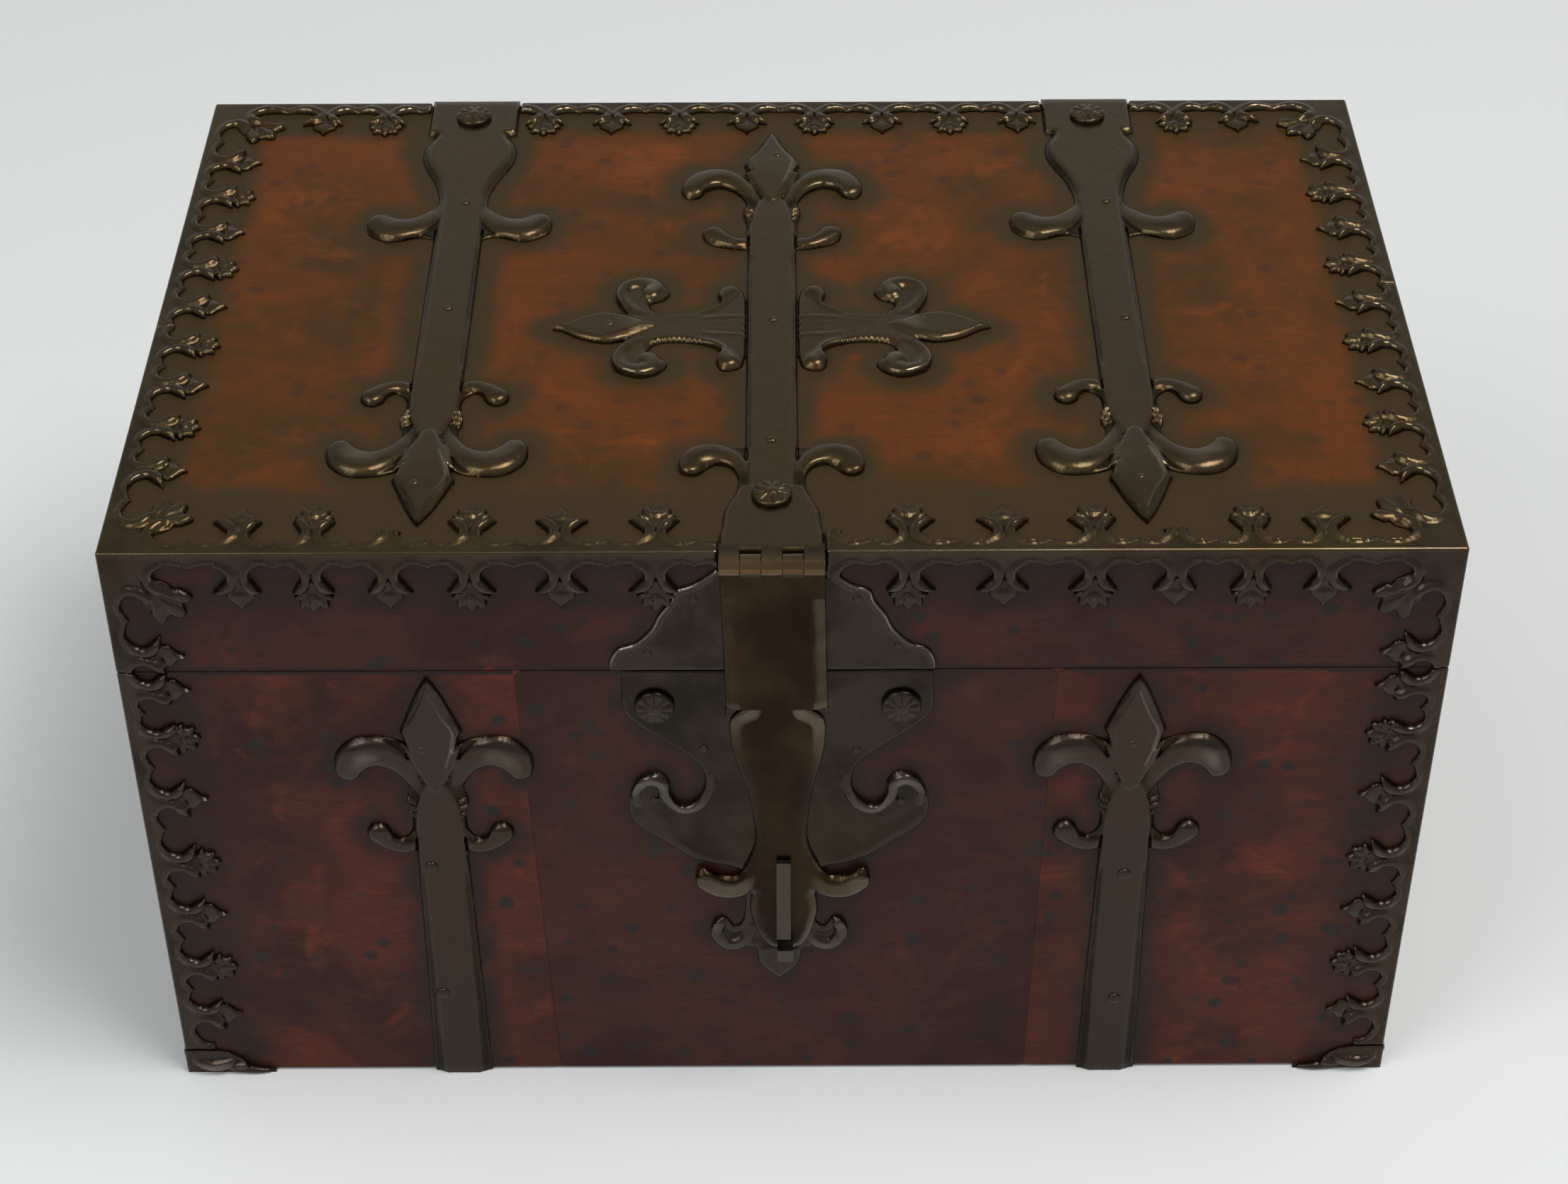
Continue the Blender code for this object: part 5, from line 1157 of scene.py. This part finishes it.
# %% [markdown]
# ## Bolts and nails
#
# Five domed bolt heads carry a turned rosette: radial flutes cut into a low dome. Small nails
# hold the straps, most of them dark with the rest and a few rubbed to yellow.


# %% Bolts and nails
def rosette_field(u, v):
    """A low dome with ten flutes and a small boss, by polar angle."""
    reach, turn = np.hypot(u, v), np.arctan2(v, u)
    inside = BOLT_RADIUS - reach
    flute = 0.55 * (1 - np.abs(np.cos(5 * turn))) * ramp(reach, 1.3, 3.2) * ramp(inside, 0.3, 1.6)
    boss = 0.35 * dome(reach / 1.7)
    return softened(inside, 0.9 + 1.5 * dome(reach / 7.6) - flute + boss, 0.9, 0.7)


bolt_lines = np.linspace(-7.1, 7.1, 49)
BOLT_RADIUS, LOCK_BOLT, LOCK_BOLT_Z = 7.0, 43.0, 187.5
lid_bolts = {"left": (-STRAP_X, 131.8), "right": (STRAP_X, 131.8), "middle": (CENTRE_X, -118.5)}
for word, place in lid_bolts.items():
    plate("rosette_lid_" + word, bolt_lines, bolt_lines, rosette_field, on_top(*place, WOOD[2] + THICK + 0.3),
          "bronze", "lid", "lid_rosette_" + word, plain=1.9)
for side, word in SIDES:
    lay = on_front(LOCK_X + side * LOCK_BOLT, LOCK_BOLT_Z, WOOD[1] + 1.3)
    plate("rosette_lock_" + word, bolt_lines, bolt_lines, rosette_field, lay,
          "plate_bronze", "case", "lock_rosette_" + word, plain=1.9)


def nails(name, lay_on, level, radius, rise, finish, body, places):
    """Domed heads on a face, some a little above its level, sunk a little into it."""
    lines = np.linspace(-radius, radius, 13)

    def head(u, v):
        reach = np.hypot(u, v)
        return radius * 0.98 - reach, rise * dome(reach / radius)

    patches = [(lines, lines, head, lay_on(across, up, level + sum(raised)))
               for across, up, *raised in places]
    relief(name, patches, finish, body, floor=-0.3, plain=rise - 0.9)


strap_level, front_level, plate_level = WOOD[2] + THICK, WOOD[1] + THICK, WOOD[1] + 0.8
nails("nails_lid", on_top, strap_level, 1.7, 0.9, "bronze", "lid",
      [(-122.2, 68.8), (125.8, 68.0), (126.5, -11.5), (-1.5, 101.8, 0.6), (-3.5, -86.2),
       (-53.5, -40.2, -1.2), (44.0, -38.2, -1.2)])
nails("nails_lid_bright", on_top, strap_level, 1.5, 0.8, "gold_bronze", "lid",
      [(-123.0, -3.8), (-126.0, -110.8, 0.6), (123.2, -109.0, 0.6), (-3.0, -12.0),
       (-63.0, -14.5, 0.2), (51.5, -11.2, 0.4)])
nails("nails_front", on_front, front_level, 2.5, 1.2, "bronze", "case",
      [(-127.8, 111.2), (124.0, 106.2), (-128.5, 45.2), (124.5, 40.8)])
nails("nails_front_bright", on_front, front_level, 1.6, 0.9, "gold_bronze", "case",
      [(-127.0, 169.0, 0.9), (122.8, 170.8, 0.9)])
nails("nails_lock", on_front, plate_level, 1.5, 0.7, "bronze", "case",
      [(-46.0, 142.5), (42.0, 141.5), (-28.0, 167.0), (26.0, 166.0)])
nails("nails_striker", on_front, plate_level, 1.5, 0.7, "bronze", "lid",
      [(-46.5, 211.2), (-30.2, 235.0), (25.2, 235.0), (39.8, 214.5)])

# %% [markdown]
# ## Feet
#
# The solid foot is a plain bracket. A crescent and two small lobes are laid on both its faces.

# %% Feet
FOOT_TOP = ([0, 12.2, 17.0, 21.1, 24.5, 31.6, 34.0], [12.0, 12.0, 10.8, 7.9, 3.6, 1.9, 0.0])
FOOT_CRESCENT = [(3.5, 10.4, 1.0, 0.5), (4.8, 6.4, 1.8, 1.4), (9.5, 4.3, 2.4, 2.0), (15.0, 5.2, 2.4, 1.9),
                 (18.6, 7.4, 1.2, 0.9)]
FOOT_LOBES = [[(17, 3.4, 1.3, 0.9), (22.5, 4.4, 1.6, 1.7), (25.0, 5.4, 0.6, 0.6)],
              [(18, 1.9, 1.3, 0.9), (26, 1.9, 1.5, 1.5), (31.5, 1.3, 0.7, 0.6)]]


def foot_field(u, v):
    """A crescent and two lobes under the bracket's curved top."""
    inside = np.minimum(np.interp(u, *FOOT_TOP) - v, v - 0.3) * 0.8
    return softened(inside, 0.35 + strokes(u, v, [FOOT_CRESCENT, *FOOT_LOBES]), 0.6, 0.3)


for side, end, word in CORNERS:
    patches = two_faces(np.linspace(0, 34, 69), np.linspace(0, 12.2, 33), foot_field,
                        (side * HALF_X, end * HALF_Y, 0),
                        ((-side, 0, 0), (0, 0, 1)), ((0, -end, 0), (0, 0, 1)))
    relief("foot_scroll_" + word, patches, "bronze", "case", floor=-0.05, plain=0.4)

# %% [markdown]
# ## Veneer sheets
#
# The lid's top, the lid's front and the body's front get real sheets of veneer, a fifth of a
# millimetre thick, in the gap between wood and metal. The body's front is made of three, with
# two narrow seams that lean a little. Each carries its grime: dense beside the metal and gone a
# couple of centimetres away. The front sheets also carry painted shade in a stripe a couple of
# millimetres wide along the joint between lid and body.

# %% Veneer sheets
SHEET_RISE, MARGIN, HALF_SEAM, LID_SEAM = 0.2, 0.1, 0.12, -101.0
WOOD_HALF, WOOD_FRONT, WOOD_TOP = 228.7, 145.7, 254.7
ENDS = (-228.6, 228.6)


def veneer_sheet(name, us, vs, bounds, grime_and_joint_shade, lay, finish, body):
    """A thin sheet between two lines that may lean, with its grime, and on the fronts the painted shade at
    the joint, as the share.
    """
    left, right, low, high = bounds

    def field(u, v):
        share = (v - low) / (high - low)
        left_line, right_line = (line[0] + share * (line[1] - line[0]) for line in (left, right))
        inside = np.minimum(np.minimum(u - left_line, right_line - u), np.minimum(v - low, high - v))
        return inside, np.full_like(u, SHEET_RISE), grime_and_joint_shade(u, v)
    plate(name, us, vs, field, lay, finish, body, plain=SHEET_RISE, share="grime_and_joint_shade")


def away_from(v, *pieces):
    """Distance outside the nearest outline, each with its own across and a shift of v."""
    return np.minimum.reduce([-inside_outline(across, v + shift, outline)
                              for across, shift, outline in pieces])


def lid_grime(x, y):
    """Dark within a finger's width of the border, the straps and the cross arms."""
    from_centre = x - CENTRE_X
    away = away_from(y, (x + STRAP_X, 0, lid_outline), (x - STRAP_X, 0, lid_outline),
                     (from_centre, 0, centre_outline), (np.abs(from_centre), -CROSS_Y, cross_outline))
    edge = np.minimum(HALF_X - np.abs(x), HALF_Y - np.abs(y))
    return 0.95 * (1 - ramp(away, 0, 16) * ramp(edge, 15, 33) * ramp(HALF_Y + y, 26, 50))


def front_grime_and_joint_shade(x, z):
    """Dark with grime beside the straps, the lock plate and the bindings, and with painted shade along the
    joint.
    """
    away = away_from(z, (x + STRAP_X, 0, front_outline), (x - STRAP_X, 0, front_outline),
                     (x - LOCK_X, -LOCK_BOTTOM, lock_outline))
    near_metal = 0.62 * (1 - ramp(away, 0, 14) * ramp(HALF_X - np.abs(x), 20, 48))
    # The stripe along the joint is painted shade of the gap.
    return np.maximum(near_metal, 1 - ramp(JOINT_Z - z, 0.5, 2.0))


def lid_front_grime_and_joint_shade(x, z):
    """Dark with grime beside the striker and the border, and with painted shade along the joint."""
    away = away_from(z, (x - CENTRE_X, -LID_BOTTOM, striker_outline))
    near_metal = 0.6 * (1 - ramp(away, 0, 12) * ramp(TOP_Z - z, 20, 36) * ramp(HALF_X - np.abs(x), 20, 36))
    # The stripe along the joint is painted shade of the gap.
    return np.maximum(near_metal, 1 - ramp(z - JOINT_Z, 0.5, 2.5))


top_us, top_vs = np.linspace(-WOOD_HALF, WOOD_HALF, 184), np.linspace(-WOOD_FRONT, WOOD_FRONT, 118)
top_bounds = (ENDS[:1] * 2, ENDS[1:] * 2, MARGIN - WOOD_FRONT, WOOD_FRONT - MARGIN)
veneer_sheet("veneer_lid_top", top_us, top_vs, top_bounds, lid_grime, on_top(level=WOOD_TOP),
             "lid_veneer", "lid")
lid_rise, body_rise = np.linspace(LID_BOTTOM, WOOD_TOP, 25), np.linspace(1.3, BODY_TOP, 82)
for word, left, right in (("left", ENDS[0], LID_SEAM - HALF_SEAM), ("right", LID_SEAM + HALF_SEAM, ENDS[1])):
    lines = np.linspace(left - MARGIN, right + MARGIN, max(40, int((right - left) / 2.5)))
    veneer_sheet("veneer_lid_front_" + word, lines, lid_rise,
                 ((left, left), (right, right), JOINT_Z + SHEET_RISE, WOOD_TOP - MARGIN), lid_front_grime_and_joint_shade,
                 on_front(level=WOOD_FRONT), "veneer_middle", "lid")
panels = {"left": (ENDS[:1] * 2, (-86.2, -93.2), "veneer"),
          "middle": ((-85.9, -92.9), (91.9, 94.9), "veneer_middle"),
          "right": ((92.2, 95.2), ENDS[1:] * 2, "veneer")}
for word, (left, right, finish) in panels.items():
    lines = np.linspace(min(left) - MARGIN, max(right) + MARGIN, int((max(right) - min(left)) / 2.5))
    veneer_sheet("veneer_front_" + word, lines, body_rise, (left, right, 1.4, JOINT_Z - SHEET_RISE),
                 front_grime_and_joint_shade, on_front(level=WOOD_FRONT), finish, "case")

# %% [markdown]
# ## Floor and light
#
# The box stands on pale matt paper that runs up behind it. The paper is one sheet, bent in a
# quarter circle. One soft lamp hangs above and one in front, and the room adds an even light.


# %% Floor and light
def paper_sweep(half_width=9.0, front=-12.0, back=1.6, bend=0.8, height=4.0, steps=24):
    """A floor line, a quarter circle and a wall line, drawn along the width."""
    turn = np.linspace(0, math.pi / 2, steps)
    line_y = np.concatenate([[front], back + bend * np.sin(turn), [back + bend]])
    line_z = np.concatenate([[0], bend * (1 - np.cos(turn)), [height]])
    points = [(x, y, z) for x in (-half_width, half_width) for y, z in zip(line_y, line_z)]
    count = len(line_y)
    faces = [(i, count + i, count + i + 1, i + 1) for i in range(count - 1)]
    mesh = bpy.data.meshes.new("paper")
    mesh.from_pydata(points, [], faces)
    mesh.shade_smooth()
    obj = put_in_scene("paper", mesh)
    obj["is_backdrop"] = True
    return obj


def paper_finish():
    """Matt paper."""
    material, _, shader = new_material("paper")
    shader.inputs["Base Color"].default_value = (0.7, 0.71, 0.705, 1)
    shader.inputs["Roughness"].default_value = 0.9
    return material


def soft_lamp(name, place, aim, size, power, colour):
    """A rectangular lamp turned to a point."""
    lamp = bpy.data.lights.new(name, "AREA")
    lamp.shape = "RECTANGLE"
    lamp.size, lamp.size_y = size
    lamp.energy = power
    lamp.color = colour
    obj = put_in_scene(name, lamp)
    obj.location = place
    obj.rotation_euler = (Vector(aim) - Vector(place)).to_track_quat("-Z", "Y").to_euler()


paper_sweep().data.materials.append(paper_finish())
soft_lamp("key", (0.8, -0.4, 2.3), (0, 0, 0.1), (1.3, 0.9), 38, (1.0, 0.99, 0.97))
soft_lamp("fill", (-1.4, -1.2, 1.9), (0, 0, 0.1), (1.4, 1.4), 20, (0.97, 0.98, 1.0))
world = bpy.data.worlds.new("room")
world.use_nodes = True
sky = world.node_tree.nodes["Background"].inputs
sky["Color"].default_value = (0.8, 0.82, 0.84, 1)
sky["Strength"].default_value = 0.55
bpy.context.scene.world = world
print("lamps: 2")

# %% Bounds of the frame and of the scene
boxes = [[list(map(float, corner)) for corner in found] for found in (cad_box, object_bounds())]
